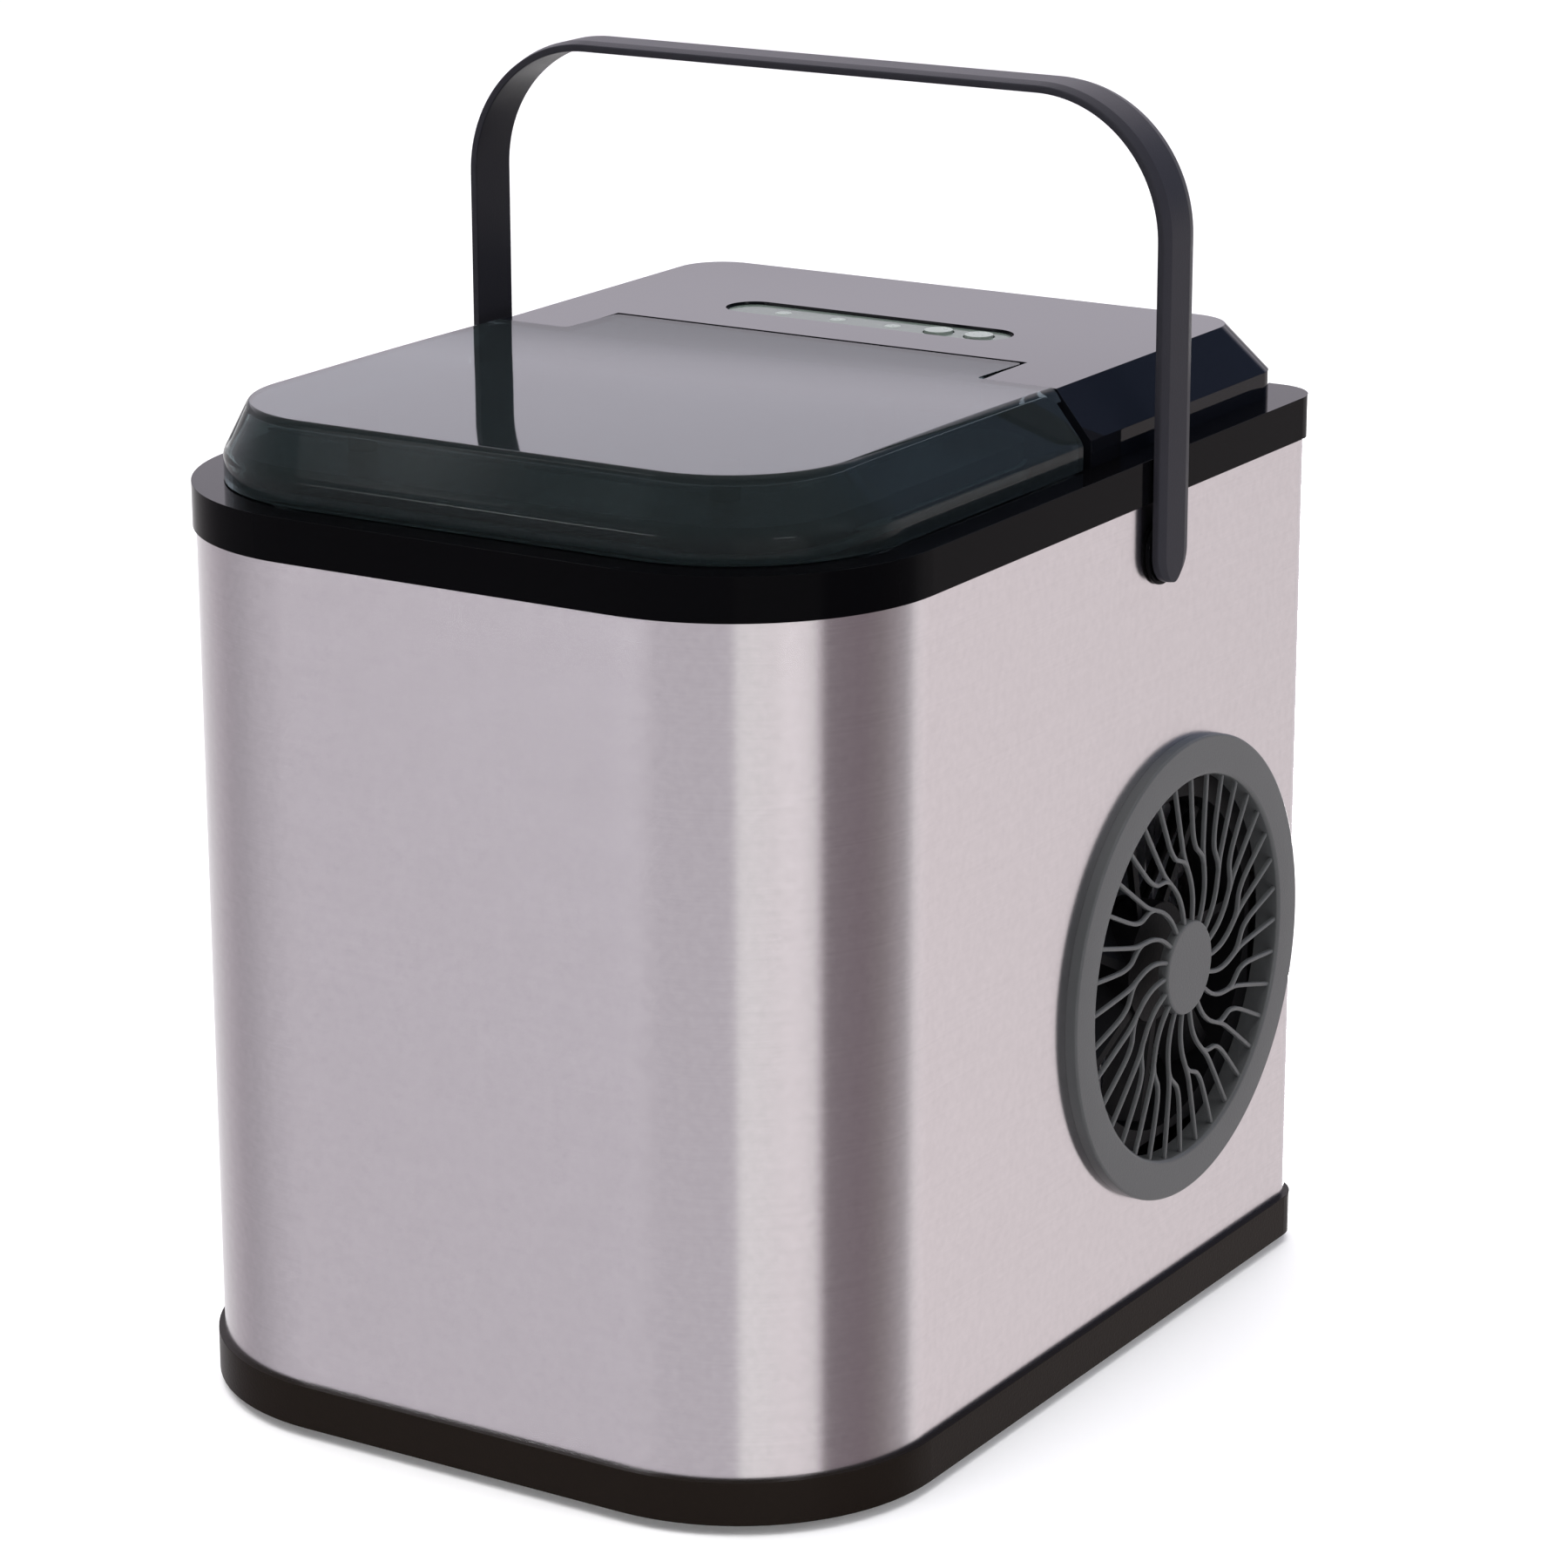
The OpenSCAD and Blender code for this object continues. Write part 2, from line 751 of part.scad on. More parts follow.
// One curved rib, from the hub out to the ring, in the plane of the grille
module grille_rib() {
    mid_r = (grille_hub + grille_open_r) / 2;
    reach = grille_open_r - mid_r;
    bend_r = reach * 0.62;
    for (part = [[grille_hub - 2, 0, 1], [mid_r, 0, -1]])
        translate([part[0] + reach / 2, part[2] * bend_r * 0.78])
            intersection() {
                difference() {
                    circle(bend_r + rib_w / 2);
                    circle(bend_r - rib_w / 2);
                }
                translate([-reach / 2 - 1.2, part[2] > 0 ? -bend_r - 2 : 0])
                    square([reach + 2.4, bend_r + 2]);
            }
}

module fan_grille() {
    color("#5a5a5c")
    translate([wrap_x, fan_y, fan_z])
        rotate([90, 0, 90]) {
            difference() {
                cylinder(r = grille_r, h = grille_proud);
                translate([0, 0, -over]) cylinder(r = grille_open_r, h = grille_proud + 2 * over);
            }
            translate([0, 0, -grille_depth])
                difference() {
                    cylinder(r = grille_open_r + 2.9, h = grille_depth + eps);
                    translate([0, 0, -over]) cylinder(r = grille_open_r, h = grille_depth + 2 * over);
                }
            translate([0, 0, grille_proud - 1 - rib_t]) {
                cylinder(r = grille_hub, h = rib_t + 0.8);
                linear_extrude(rib_t)
                    for (i = [0 : rib_n - 1]) rotate(i * 360 / rib_n) grille_rib();
            }
        }
}

module fan_frame() {
    bore_r = blade_r + 1.5;
    spoke_w = 4;
    color("#2a2a2c")
    translate([frame_x, fan_y, fan_z])
        difference() {
            union() {
                difference() {
                    translate([0, -fan_frame_half, -fan_frame_half])
                        cube([frame_t, 2 * fan_frame_half, 2 * fan_frame_half]);
                    rod_x(-over, 0, 0, bore_r, frame_t + 2 * over);
                }
                for (a = [0 : 3])
                    rotate([45 + 90 * a, 0, 0])
                        translate([0, 0, -spoke_w / 2]) cube([1.8, bore_r + 1, spoke_w]);
                rod_x(0, 0, 0, hub_r, 1.8);
            }
            for (y = [-1, 1], z = [-1, 1])
                rod_x(-over, y * (fan_frame_half - 5), z * (fan_frame_half - 5), 2.2, frame_t + 2 * over);
        }
}

module fan_motor() {
    color("#8c5a2b")
    difference() {
        rod_x(frame_x + 1.8, fan_y, fan_z, hub_r - 3, rotor_t - 2);
        rod_x(frame_x + 1, fan_y, fan_z, fan_shaft_r + fit, rotor_t + 2);
    }
}

module fan_rotor() {
    blade_n = 7;
    color("#18181a")
    translate([rotor_x, fan_y, fan_z]) {
        difference() {
            rod_x(0, 0, 0, hub_r, rotor_t);
            rod_x(-over, 0, 0, hub_r - 1.6, rotor_t - 1.2);
        }
        rod_x(-0.8, 0, 0, fan_shaft_r, rotor_t);
        for (i = [0 : blade_n - 1])
            rotate([i * 360 / blade_n, 0, 0])
                intersection() {
                    rod_x(0.9, 0, 0, blade_r, rotor_t - 2.1);
                    translate([rotor_t / 2, hub_r - 0.9, 0])
                        rotate([0, 38, 0])
                            translate([-0.8, 0, -13]) cube([1.6, blade_r, 26]);
                }
    }
}

// ---- refrigeration ----

module condenser() {
    tube_r = 3.2;
    rows = 4;
    row_pitch = cond_h / rows;
    columns = [cond_x + cond_t / 4, cond_x + cond_t * 3 / 4];
    fins = floor((cond_d - 12) / fin_pitch);
    color("#c9ccd0")
    union() {
        for (i = [0 : fins])
            translate([cond_x, cond_front + 5 + i * fin_pitch, cond_z]) cube([cond_t, 0.6, cond_h]);
        for (x = columns, i = [0 : rows - 1])
            rod_y(x, cond_front, cond_z + row_pitch * (i + 0.5), tube_r, cond_d);
        for (i = [0 : rows - 1], y = [cond_front, cond_front + cond_d])
            rod_x(columns[0], y, cond_z + row_pitch * (i + 0.5), tube_r, cond_t / 2);
        for (x = columns, i = [0 : rows - 1], y = [cond_front, cond_front + cond_d])
            translate([x, y, cond_z + row_pitch * (i + 0.5)]) sphere(tube_r);
        for (z = [cond_z, cond_z + cond_h - 1])
            translate([cond_x, cond_front + 4, z]) cube([cond_t, cond_d - 8, 1]);
        for (y = [cond_front + 8, cond_front + cond_d - 18])
            translate([cond_x + cond_t / 2 - 3, y, plate_z + plate_t])
                cube([6, 10, cond_z - plate_z - plate_t + eps]);
    }
}

module compressor() {
    edge = 14;
    foot_t = 2.5;
    color("#1d1e20")
    union() {
        translate([comp_x, comp_y, comp_z])
            rotate_extrude()
                intersection() {
                    union() {
                        square([comp_r - edge, comp_h]);
                        translate([0, edge]) square([comp_r, comp_h - 2 * edge]);
                        translate([comp_r - edge, edge]) circle(edge);
                        translate([comp_r - edge, comp_h - edge]) circle(edge);
                    }
                    square([comp_r + 1, comp_h]);
                }
        difference() {
            translate([comp_x, comp_y, comp_z]) cylinder(r = comp_r + 8, h = foot_t);
            for (a = mount_angles) mount_place(a) translate([0, 0, -over]) cylinder(r = 3, h = 30);
        }
    }
}

mount_angles = [90, 210, 330];

module mount_place(a) {
    translate([comp_x, comp_y, plate_z + plate_t])
        rotate(a)
            translate([comp_r + 2.5, 0, 0]) children();
}

module compressor_mounts() {
    color("#3a3a3a")
    for (a = mount_angles)
        mount_place(a) {
            cylinder(r = 5.2, h = comp_z - plate_z - plate_t);
            cylinder(r = 3, h = comp_z - plate_z - plate_t + 6);
        }
}

module terminal_cover() {
    color("#101010")
    difference() {
        translate([comp_x + comp_r - 6, comp_y - 16, comp_z + 30]) cube([22, 32, 36]);
        translate([comp_x, comp_y, comp_z + 20]) cylinder(r = comp_r + 0.1, h = 60);
    }
}

module mount_plate() {
    edge = 14;
    color("#a9adb0")
    difference() {
        translate([-case_w / 2 + edge, bay_front, plate_z])
            cube([case_w - 2 * edge, rear_y - 8 - plug_pocket - bay_front, plate_t]);
        for (x = plate_post_x, y = plate_post_y) translate([x, y, plate_z - over]) cylinder(r = 1.6, h = 5);
        translate([plug_x - plug_pocket - 4, rear_y - plug_pocket - 24, plate_z - over])
            cube([2 * plug_pocket + 8, 40, 5]);
    }
}

drier_x = comp_x + comp_r + 36;
drier_y = rear_y - 28;

module filter_drier() {
    color("#b87333")
    translate([drier_x, drier_y, fan_z - 30]) {
        cylinder(r = 8, h = 60);
        translate([0, 0, -8]) cylinder(r1 = 3, r2 = 8, h = 8);
        translate([0, 0, 60]) cylinder(r1 = 8, r2 = 3, h = 8);
    }
}

valve_x = comp_x + comp_r + 26;
valve_y = bay_front + 14;
valve_z = comp_z + comp_h + 36;

module gas_valve() {
    color("#b08d3a")
    union() {
        translate([valve_x - 10, valve_y - 9, valve_z]) cube([20, 18, 22]);
        translate([valve_x, valve_y, valve_z - 16]) cylinder(r = 5, h = 17);
        translate([valve_x, valve_y, valve_z + 22 - eps]) cylinder(r = 4, h = 4);
    }
}

module refrigerant_pipes() {
    r = 2.5;
    top = header_z;
    dome = comp_z + comp_h;
    stub_y = tub_rear_y + tub_wall + 2;
    cond_tube_x = cond_x + cond_t / 4;
    cond_end_y = cond_front + cond_d + 3.3;
    cond_top_z = cond_z + cond_h * 7 / 8;
    cond_low_z = cond_z + cond_h / 8;
    color("#c77b4a")
    union() {
        pipe([[-header_x, stub_y, top], [-header_x, bay_front + 12, top], [comp_x, bay_front + 12, top],
              [comp_x, comp_y, dome + 20], [comp_x, comp_y, dome]], r);
        pipe([[comp_x + 18, comp_y, dome], [comp_x + 18, comp_y, dome + 12], [valve_x, comp_y, dome + 12],
              [valve_x, valve_y, dome + 12], [valve_x, valve_y, valve_z - 16]], r);
        pipe([[valve_x, valve_y, valve_z + 26], [valve_x, valve_y, top], [header_x, valve_y, top],
              [header_x, stub_y, top]], r);
        pipe([[valve_x, comp_y, dome + 12], [valve_x, comp_y, dome + 30], [cond_tube_x, comp_y, dome + 30],
              [cond_tube_x, cond_end_y + 6, dome + 30], [cond_tube_x, cond_end_y + 6, cond_top_z],
              [cond_tube_x, cond_end_y, cond_top_z]], r);
        pipe([[cond_tube_x, cond_end_y, cond_low_z], [cond_tube_x, cond_end_y + 6, cond_low_z],
              [drier_x, drier_y, cond_low_z - 14], [drier_x, drier_y, fan_z - 38]], r);
        pipe([[drier_x, drier_y, fan_z + 38], [drier_x, drier_y, top - 20],
              [drier_x, valve_y, top - 1]], 1.5);
    }
}

module evaporator() {
    color("#d0b48a")
    union() {
        rod_x(-header_x, finger_y, header_z, header_r, 2 * header_x);
        for (s = [-1, 1]) {
            translate([s * header_x, finger_y, header_z]) sphere(header_r);
            rod_y(s * header_x, finger_y, header_z, 3, tub_rear_y + tub_wall + 2 - finger_y);
        }
        for (i = [0 : finger_n - 1]) {
            x = (i - (finger_n - 1) / 2) * finger_pitch;
            translate([x, finger_y, finger_tip + finger_r])
                cylinder(r = finger_r, h = header_z - finger_tip - finger_r);
            translate([x, finger_y, finger_tip + finger_r]) sphere(finger_r);
        }
    }
}

// ---- water and ice ----

module water_tray() {
    color("#eef1f2")
    difference() {
        union() {
            translate([-tray_w / 2, tray_y - tray_d, tray_z - tray_h]) cube([tray_w, tray_d, tray_h]);
            for (s = [0, 1])
                mirror([s, 0, 0]) {
                    rod_x(tray_w / 2 - 4, tray_y, tray_z, shaft_r + 2, 6);
                    rod_x(tray_w / 2 - 2, tray_y, tray_z, shaft_r, shaft_end - tray_w / 2 + 2);
                }
        }
        translate([-tray_w / 2 + 4, tray_y - tray_d + tray_wall, tray_z - tray_h + tray_wall])
            cube([tray_w - 8, tray_d - 2 * tray_wall, tray_h + 10]);
    }
}

shaft_end = tub_w / 2 + tub_wall + 3;

module tray_bushes() {
    color("#f4f4f4")
    for (s = [0, 1])
        mirror([s, 0, 0])
            difference() {
                union() {
                    rod_x(tub_w / 2 - 2, tray_y, tray_z, shaft_r + 3.5, 2);
                    rod_x(tub_w / 2 - eps, tray_y, tray_z, shaft_r + 2, tub_wall + eps);
                }
                rod_x(tub_w / 2 - 5, tray_y, tray_z, shaft_r + fit, 12);
            }
}

module tray_motor() {
    color("#9aa0a4")
    difference() {
        union() {
            rod_x(-tub_w / 2 - tub_wall - motor_t, tray_y, tray_z, motor_r - 2, motor_t);
            translate([-tub_w / 2 - tub_wall - 3, tray_y - motor_r, tray_z - 5]) cube([3, 2 * motor_r, 10]);
        }
        rod_x(-tub_w / 2 - tub_wall - 4, tray_y, tray_z, shaft_r + fit, 5);
    }
}

module water_pump() {
    color("#dfe3e6")
    union() {
        translate([pump_x, bay_front + 22, plate_z + plate_t]) cylinder(r = 16, h = 24);
        translate([pump_x, bay_front + 22, plate_z + plate_t + 24 - eps]) cylinder(r = 11, h = 14);
        rod_x(pump_x + 10, bay_front + 22, plate_z + plate_t + 12, 3, 9);
    }
}

module water_hose() {
    r = 3.4;
    supply_z = tub_z + 10;
    pump_y = bay_front + 22;
    outlet_z = plate_z + plate_t + 12;
    drain_x = plug_x;
    riser_x = pump_x + 19 + r + 0.4;
    spout_rear = rear_y - plug_pocket - 20;
    color("#e6ebee")
    union() {
        pipe([[pump_x, tub_rear_y + 0.5, supply_z], [pump_x, pump_y, supply_z],
              [pump_x, pump_y, plate_z + plate_t + 38]], r);
        pipe([[riser_x, pump_y, outlet_z], [riser_x, pump_y, hose_z], [hose_x, pump_y, hose_z],
              [hose_x, tray_y - 4, hose_z]], r);
        pipe([[drain_x, spout_rear, plug_z], [drain_x, drain_y, plug_z], [drain_x, drain_y, tub_z - tub_wall]], r);
    }
}

module ice_basket() {
    hole = 5;
    pitch = 11;
    columns = floor((basket_w - 24) / pitch);
    rows = floor((basket_d - 20) / pitch);
    levels = floor((basket_h - 34) / pitch);
    color("#f2f4f5")
    difference() {
        translate([0, 0, basket_z])
            linear_extrude(basket_h)
                plan(basket_w, basket_front, basket_front + basket_d, 20, 6);
        translate([0, 0, basket_z + basket_wall])
            linear_extrude(basket_h)
                plan(basket_w - 2 * basket_wall, basket_front + basket_wall,
                     basket_front + basket_d - basket_wall, 20 - basket_wall, 6 - basket_wall);
        for (i = [0 : columns], j = [0 : rows])
            translate([(i - columns / 2) * pitch - hole / 2,
                       basket_front + basket_d / 2 + (j - rows / 2) * pitch - hole / 2, basket_z - over])
                cube([hole, hole, basket_wall + 2 * over]);
        for (i = [1 : columns - 1], k = [0 : levels])
            translate([(i - columns / 2) * pitch - hole / 2, basket_front - over, basket_z + 14 + k * pitch])
                cube([hole, basket_d + 2 * over, hole]);
    }
}

module basket_grip() {
    grip_w = 60;
    color("#2c6f9a")
    difference() {
        translate([-grip_w / 2, basket_front + basket_wall, basket_z + basket_h - 12])
            cube([grip_w, 2.5, 30]);
        translate([-grip_w / 2 + 12, basket_front, basket_z + basket_h + 2]) cube([grip_w - 24, 10, 10]);
    }
}

// ---- electrics and drain ----

board_w = 96;
board_h = 72;
board_x = drier_x - 48;

module control_board() {
    color("#1f6b3a")
    translate([board_x - board_w / 2, control_y - 1.6, control_z]) cube([board_w, 1.6, board_h]);
}

module board_posts() {
    color("#d8d8d8")
    for (x = [-1, 1], z = [6, board_h - 6])
        rod_y(board_x + x * (board_w / 2 - 6), control_y, control_z + z, 3, cover_in - control_y);
}

module board_components() {
    color("#2a4d8f")
    union() {
        translate([board_x - 40, control_y - 23.6, control_z + 8]) cube([28, 22, 30]);
        translate([board_x - 4, control_y - 17.6, control_z + 8]) cube([16, 16, 20]);
        translate([board_x + 18, control_y - 17.6, control_z + 8]) cube([16, 16, 20]);
        rod_y(board_x - 6, control_y - 21.6, control_z + 52, 8, 20);
        translate([board_x + 12, control_y - 9.6, control_z + 44]) cube([26, 8, 14]);
    }
}

module power_inlet() {
    depth = 16;
    color("#17171a")
    difference() {
        union() {
            translate([inlet_x - inlet_w / 2, rear_y - depth, inlet_z - inlet_h / 2])
                cube([inlet_w, depth, inlet_h]);
            translate([inlet_x - inlet_w / 2 - 6, cover_in - 2, inlet_z - inlet_h / 2])
                cube([inlet_w + 12, 2, inlet_h]);
        }
        difference() {
            translate([inlet_x - inlet_w / 2 + 2, rear_y - depth + 2, inlet_z - inlet_h / 2 + 2])
                cube([inlet_w - 4, depth, inlet_h - 4]);
            for (x = [-6, 0, 6])
                translate([inlet_x + x - 0.8, rear_y - depth, inlet_z - 2.5 + (x == 0 ? 2 : 0)])
                    cube([1.6, depth - 3, 5]);
        }
    }
}

module drain_spout() {
    bore_r = plug_r + fit;
    spout_y = rear_y - plug_pocket - 14;
    color("#e2e4e6")
    difference() {
        union() {
            rod_y(plug_x, spout_y, plug_z, plug_r + 2, 17);
            rod_y(plug_x, spout_y - 6, plug_z, plug_r - 1, 6 + eps);
        }
        rod_y(plug_x, spout_y + 2, plug_z, bore_r, 20);
        rod_y(plug_x, spout_y - 10, plug_z, plug_r - 3, 20);
    }
}

module drain_plug() {
    body_y = rear_y - plug_pocket - 6;
    color("#3b3b3f")
    union() {
        rod_y(plug_x, body_y, plug_z, plug_r, plug_pocket - 0.5);
        difference() {
            rod_y(plug_x, rear_y - plug_pocket + 3.4, plug_z, plug_r + 3.2, 5);
            for (s = [-1, 1])
                translate([plug_x + s * (plug_r + 3) - 2, rear_y - plug_pocket, plug_z - 10]) cube([4, 20, 20]);
        }
        translate([plug_x - 1.5, rear_y - plug_pocket + 8, plug_z - plug_r]) cube([3, 3.5, 2 * plug_r]);
    }
}

module case_screws() {
    color("#8f8f93")
    union() {
        for (x = cover_screw_x, z = cover_screw_z) {
            rod_y(x, rear_y - 8, z, 1.6, 8 + eps);
            rod_y(x, rear_y, z, 3, 0.8);
        }
        for (x = plate_post_x, y = plate_post_y)
            translate([x, y, plate_z]) {
                cylinder(r = 1.6, h = plate_t + eps);
                translate([0, 0, plate_t]) cylinder(r = 3.2, h = 1.6);
            }
    }
}

base_tray();
rubber_feet();
outer_wrap();
rear_cover();
top_ring();
foam_insulation();
inner_tub();
lid_shell();
lid_inner_panel();
lid_gasket();
lid_hinge_pins();
rear_panel();
display_lens();
indicator_lamps();
display_board();
button_switches();
power_button();
select_button();
carry_handle();
handle_pins();
handle_bushes();
handle_clips();
fan_grille();
fan_frame();
fan_motor();
fan_rotor();
condenser();
compressor();
compressor_mounts();
terminal_cover();
mount_plate();
filter_drier();
gas_valve();
refrigerant_pipes();
evaporator();
water_tray();
tray_bushes();
tray_motor();
water_pump();
water_hose();
ice_basket();
basket_grip();
control_board();
board_components();
board_posts();
power_inlet();
drain_spout();
drain_plug();
case_screws();
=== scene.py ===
"""Countertop ice maker: materials, finer visible pieces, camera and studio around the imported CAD."""

import json
import math

import bmesh
import bpy
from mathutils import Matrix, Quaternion, Vector


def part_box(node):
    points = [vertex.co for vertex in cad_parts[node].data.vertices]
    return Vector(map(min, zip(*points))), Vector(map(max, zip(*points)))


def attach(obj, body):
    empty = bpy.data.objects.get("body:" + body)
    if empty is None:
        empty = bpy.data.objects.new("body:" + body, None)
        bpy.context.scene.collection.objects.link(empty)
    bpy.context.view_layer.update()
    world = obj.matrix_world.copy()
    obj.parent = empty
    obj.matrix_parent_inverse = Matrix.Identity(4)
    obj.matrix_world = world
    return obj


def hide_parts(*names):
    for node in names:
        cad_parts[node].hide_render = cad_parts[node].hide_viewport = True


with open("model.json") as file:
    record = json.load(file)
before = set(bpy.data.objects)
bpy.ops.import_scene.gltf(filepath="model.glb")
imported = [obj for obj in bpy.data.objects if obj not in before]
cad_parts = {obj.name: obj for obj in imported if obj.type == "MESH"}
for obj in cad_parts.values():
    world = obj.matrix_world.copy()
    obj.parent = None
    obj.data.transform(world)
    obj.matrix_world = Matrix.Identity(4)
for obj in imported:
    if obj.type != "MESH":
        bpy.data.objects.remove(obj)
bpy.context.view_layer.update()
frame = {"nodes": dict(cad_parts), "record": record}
NODES = frame["nodes"]
SCENE = bpy.context.scene
MM = 0.001


# ---- sizes taken from the CAD boxes ----

wrap_low, wrap_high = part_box("outer_wrap")
ring_low, ring_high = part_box("top_ring")
lid_low, lid_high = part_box("lid_shell")
panel_low, panel_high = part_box("rear_panel")
grille_low, grille_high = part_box("fan_grille")
strap_low, strap_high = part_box("carry_handle")

WRAP_X = wrap_high.x
WRAP_FRONT = wrap_low.y
WRAP_REAR = wrap_high.y
SHEET = 0.8 * MM
FRONT_R = 57 * MM
REAR_R = 12 * MM
COVER_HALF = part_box("rear_cover")[1].x - 2 * MM
FAN_Y = (grille_low.y + grille_high.y) / 2
FAN_Z = (grille_low.z + grille_high.z) / 2
GRILLE_R = (grille_high.y - grille_low.y) / 2
GRILLE_OPEN = 54.5 * MM
STRAP_Y = (strap_low.y + strap_high.y) / 2
STRAP_W = strap_high.y - strap_low.y
STRAP_T = 2.8 * MM
STRAP_R = 40 * MM
PIVOT_Z = strap_low.z + STRAP_W / 2
PIN_HOLE_R = 6.2 * MM
DECK_Z = ring_high.z
TOP_Z = lid_high.z
SKIRT_Z = DECK_Z + 7.5 * MM
WALL = 2.5 * MM
LAMP_GAP_MM = 6
CAP_HALF = panel_high.x
CAP_REAR = panel_high.y
FLAT_HALF = CAP_HALF - 10.7 * MM
FLAT_FRONT = -CAP_REAR + 7 * MM
FLAT_REAR = CAP_REAR - 4.9 * MM
TONGUE_HALF = 66 * MM
LID_REAR = panel_low.y - 1.6 * MM
TONGUE_REAR = lid_high.y


# ---- mesh helpers ----

def new_object(name, verts, faces):
    """Smooth-shaded object with its doubles merged and its faces turned outwards."""
    mesh = bpy.data.meshes.new(name)
    mesh.from_pydata([tuple(v) for v in verts], [], faces)
    mesh.validate()
    obj = bpy.data.objects.new(name, mesh)
    SCENE.collection.objects.link(obj)
    bm = bmesh.new()
    bm.from_mesh(mesh)
    bmesh.ops.remove_doubles(bm, verts=bm.verts, dist=1e-7)
    bmesh.ops.recalc_face_normals(bm, faces=bm.faces)
    for face in bm.faces:
        face.smooth = True
    bm.to_mesh(mesh)
    bm.free()
    return obj


def loft_sets(name, ring_sets, loop=False):
    """One object with a solid through each set of equal rings, capped at both ends or bent into a loop."""
    verts, faces = [], []
    for rings in ring_sets:
        start, count = len(verts), len(rings[0])
        verts += [point for ring in rings for point in ring]
        for i in range(len(rings) if loop else len(rings) - 1):
            a = start + i * count
            b = start + (i + 1) % len(rings) * count
            for j in range(count):
                k = (j + 1) % count
                faces.append((a + j, a + k, b + k, b + j))
        if not loop:
            last = start + (len(rings) - 1) * count
            faces.append(tuple(start + j for j in reversed(range(count))))
            faces.append(tuple(last + j for j in range(count)))
    return new_object(name, verts, faces)


def loft(name, rings):
    """Capped solid through rings of equal length; each ring is itself closed."""
    return loft_sets(name, [rings])


def apply_modifiers(obj):
    graph = bpy.context.evaluated_depsgraph_get()
    graph.update()
    mesh = bpy.data.meshes.new_from_object(obj.evaluated_get(graph))
    old = obj.data
    obj.modifiers.clear()
    obj.data = mesh
    bpy.data.meshes.remove(old)


def boolean(obj, cutter, operation="DIFFERENCE"):
    """Cuts the object with the cutter, which is then removed."""
    mod = obj.modifiers.new("cut", "BOOLEAN")
    mod.operation = operation
    mod.object = cutter
    mod.solver = "EXACT"
    apply_modifiers(obj)
    mesh = cutter.data
    bpy.data.objects.remove(cutter)
    bpy.data.meshes.remove(mesh)


def prism(name, outline, z0, z1):
    return loft(name, [[Vector((x, y, z0)) for x, y in outline], [Vector((x, y, z1)) for x, y in outline]])


def box(name, low, high):
    (x0, y0, z0), (x1, y1, z1) = low, high
    return prism(name, [(x0, y0), (x1, y0), (x1, y1), (x0, y1)], z0, z1)


def cylinder_x(name, y, z, radius, x0, x1, steps=96):
    turns = [math.tau * i / steps for i in range(steps)]
    circle = [(math.cos(a) * radius, math.sin(a) * radius) for a in turns]
    return loft(name, [[Vector((x, y + a, z + b)) for a, b in circle] for x in (x0, x1)])


def round_edges(obj, width, segments, angle=30):
    """Bevels the edges that are sharper than the angle."""
    bevel = obj.modifiers.new("edge", "BEVEL")
    bevel.width = width
    bevel.segments = segments
    bevel.limit_method = "ANGLE"
    bevel.angle_limit = math.radians(angle)
    return bevel


def soften(obj, width):
    """Rounds a CAD node's sharp edges without touching its mesh data."""
    weld = obj.modifiers.new("weld", "WELD")
    weld.merge_threshold = 1e-6
    flat = obj.modifiers.new("flat", "DECIMATE")
    flat.decimate_type = "DISSOLVE"
    flat.angle_limit = math.radians(0.4)
    round_edges(obj, width, 3).miter_outer = "MITER_ARC"
    smooth_normals(obj)


def smooth_normals(obj):
    normal = obj.modifiers.new("normals", "WEIGHTED_NORMAL")
    normal.mode = "FACE_AREA"
    normal.weight = 50
    normal.keep_sharp = True


def crease(obj, angle=32):
    """Marks the edges sharp where faces meet at more than the angle, then weights the normals."""
    bm = bmesh.new()
    bm.from_mesh(obj.data)
    for edge in bm.edges:
        if len(edge.link_faces) == 2:
            edge.smooth = edge.calc_face_angle(0) < math.radians(angle)
    bm.to_mesh(obj.data)
    bm.free()
    smooth_normals(obj)


def arc(cx, cy, radius, a0, a1, steps):
    """Points on an arc, angles in degrees."""
    out = []
    for i in range(steps + 1):
        a = math.radians(a0 + (a1 - a0) * i / steps)
        out.append((cx + radius * math.cos(a), cy + radius * math.sin(a)))
    return out


def footprint(half, y0, y1, rf, rb, steps=40):
    """Rounded outline, counter-clockwise from the front right corner's start."""
    return (
        arc(half - rf, y0 + rf, rf, -90, 0, steps)
        + arc(half - rb, y1 - rb, rb, 0, 90, steps // 2)
        + arc(-half + rb, y1 - rb, rb, 90, 180, steps // 2)
        + arc(-half + rf, y0 + rf, rf, 180, 270, steps)
    )


# ---- materials ----

